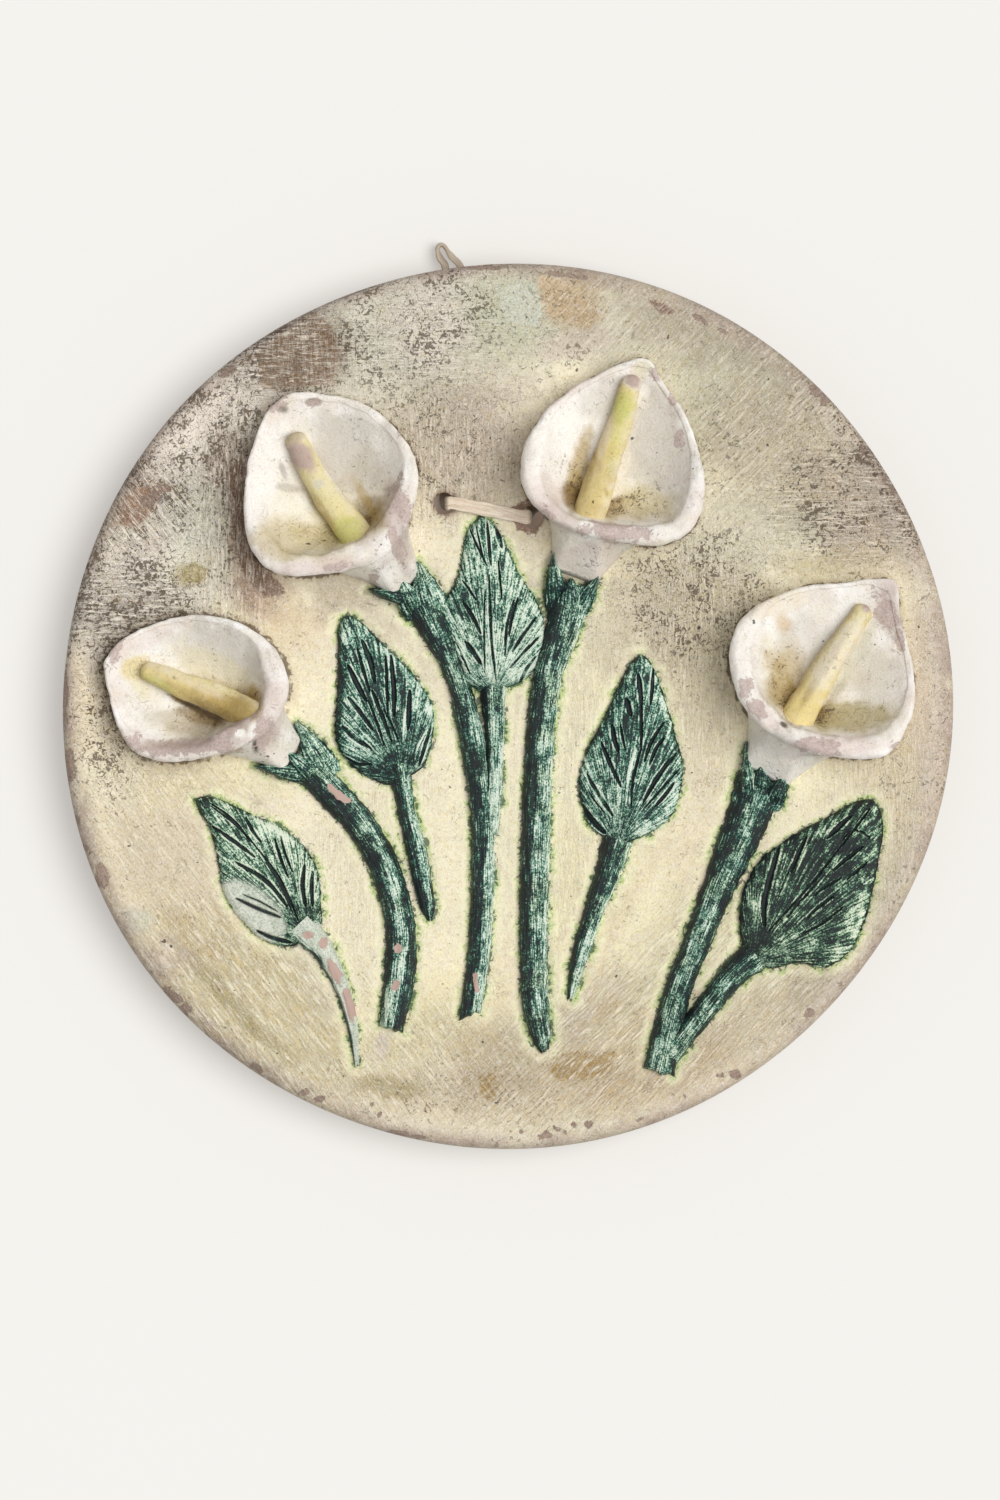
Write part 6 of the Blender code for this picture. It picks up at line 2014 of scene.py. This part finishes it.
def paint_dish(ob, tree):
    """Lays the colours on the dish: its face, its worn rim, its back and its holes."""
    points = corners(ob)
    flat = points[:, [0, 2]]
    radius = np.hypot(flat[:, 0], flat[:, 1])
    depth = -points[:, 1]
    middle = (front_depth(DISH_RADIUS) + RIM_LIFT + back_depth(PLATE_RADIUS)) / 2
    under = depth < front_depth(radius) - 0.0015
    behind = under & ((radius < PLATE_RADIUS - 0.004) | (depth < middle * 0.8))
    rim = eased(PLATE_RADIUS - 0.0075, PLATE_RADIUS - 0.0015, radius)
    gap = np.full(len(flat), 1.0)
    gap[~under] = gaps(tree, flat[~under])
    halo = 1 - eased(0.0012, 0.0045, gap)
    patch, patch_paint = crisp_patches(flat, under)
    ground = dabbed(flat, ground_of("cream", flat), GROUND_DABS, 20, 0.45)
    ground = ground * (1 + 0.05 * grains(flat, 0.010, 24)[:, None])
    ground = painted_rim(flat, ground, rim)
    clay = linear(PALETTE["back_clay"]) * (1 + 0.10 * grains(flat, 0.012, 30))[:, None]
    ground = np.where(behind[:, None], clay, ground)
    for hole in (LEFT_HOLE, RIGHT_HOLE):
        away = from_hole(flat, hole)
        ring = 1 - eased(HOLE_DIAMETER / 2 + 0.0002, HOLE_DIAMETER / 2 + 0.0014, away)
        ground = mixed(ground, "hole_edge", 0.75 * ring * ~behind)
        wall = (away < HOLE_DIAMETER / 2 * 1.06) & under
        ground = np.where(wall[:, None], linear(PALETTE["hole_wall"]), ground)
    wash = np.zeros(len(flat))
    for *place, amount in GROUND_WASH:
        wash = np.maximum(wash, amount * eased(-0.5, 0.6, oval(flat, *place)))
    wash = (0.10 + wash + 0.15 * rim) * (1 - 0.7 * halo)
    ways = np.zeros((len(flat), 4))
    for *place, way, amount in GROUND_WAYS:
        share = amount * eased(-0.5, 0.5, oval(flat, *place))
        ways[:, way] = np.maximum(ways[:, way], share)
    ways = ways * (1 - 0.6 * halo)[:, None]
    chip = chipped(flat, RIM_CHIPS, 12)
    give(ob, near=np.minimum(gap * 1000, FAR), beside=beside_cups(flat, under), patch=patch,
         patch_paint=patch_paint, paint=ground, speck=np.where(behind, 0.15, wash),
         ways=np.where(behind[:, None], 0.08, ways), chip=np.where(behind, NO_CHIP, chip),
         wear=1.0)


dish()

# The stage: a pale wall that the plate hangs on and a pale floor under it, both lit a
# little from within. Each shows only its front, so neither hides the object from behind.
STAGE_REACH = 4
WALL_TOP = 3
FLOOR_LEVEL = -1.2
WALL_GAP = 0.0008


def stage_sheet(name, places):
    """One sheet of the stage, which glows a little, and only a dark brown where the plate
    stands before it: painted shade, seen through the lace holes.
    """
    mesh = bpy.data.meshes.new(name)
    mesh.from_pydata(places, [], [(0, 1, 2, 3)])
    ob = linked(name, mesh)
    made, tree, shader, place = material(name)
    soft = noise(tree, place, 3.0, 2.0)
    tint = blended(tree, soft, (0.545, 0.535, 0.515, 1.0), (0.555, 0.545, 0.525, 1.0))
    away = node(tree, "ShaderNodeVectorMath", {0: place}, operation="LENGTH").outputs["Value"]
    # painted shade: the glow turns dark brown behind the plate
    beyond_painted_shade = span(tree, away, PLATE_RADIUS * 0.88, PLATE_RADIUS * 0.96)
    glow = blended(tree, beyond_painted_shade, (0.16, 0.10, 0.07, 1.0), (1.0, 0.985, 0.95, 1.0))
    inputs = {"Base Color": tint, "Emission Color": glow, "Emission Strength": 0.325,
              "Roughness": 1.0, "Specular IOR Level": 0.0}
    for key, value in inputs.items():
        feed(tree, shader.inputs[key], value)
    clear = node(tree, "ShaderNodeBsdfTransparent").outputs[0]
    behind = node(tree, "ShaderNodeNewGeometry").outputs["Backfacing"]
    both = node(tree, "ShaderNodeMixShader", {0: behind, 1: shader.outputs[0], 2: clear})
    tree.links.new(both.outputs[0], tree.nodes["Material Output"].inputs["Surface"])
    mesh.materials.append(made)
    ob.visible_shadow = False
    ob.visible_diffuse = False
    ob.visible_glossy = False


def level_corners(low, high):
    """The corners of a sheet from one depth and height to another, as wide as the stage."""
    (near, down), (far, up) = low, high
    return [(-STAGE_REACH, near, down), (STAGE_REACH, near, down),
            (STAGE_REACH, far, up), (-STAGE_REACH, far, up)]


stage_sheet("wall", level_corners((WALL_GAP, FLOOR_LEVEL), (WALL_GAP, WALL_TOP)))
stage_sheet("floor", level_corners((-STAGE_REACH, FLOOR_LEVEL), (STAGE_REACH, FLOOR_LEVEL)))
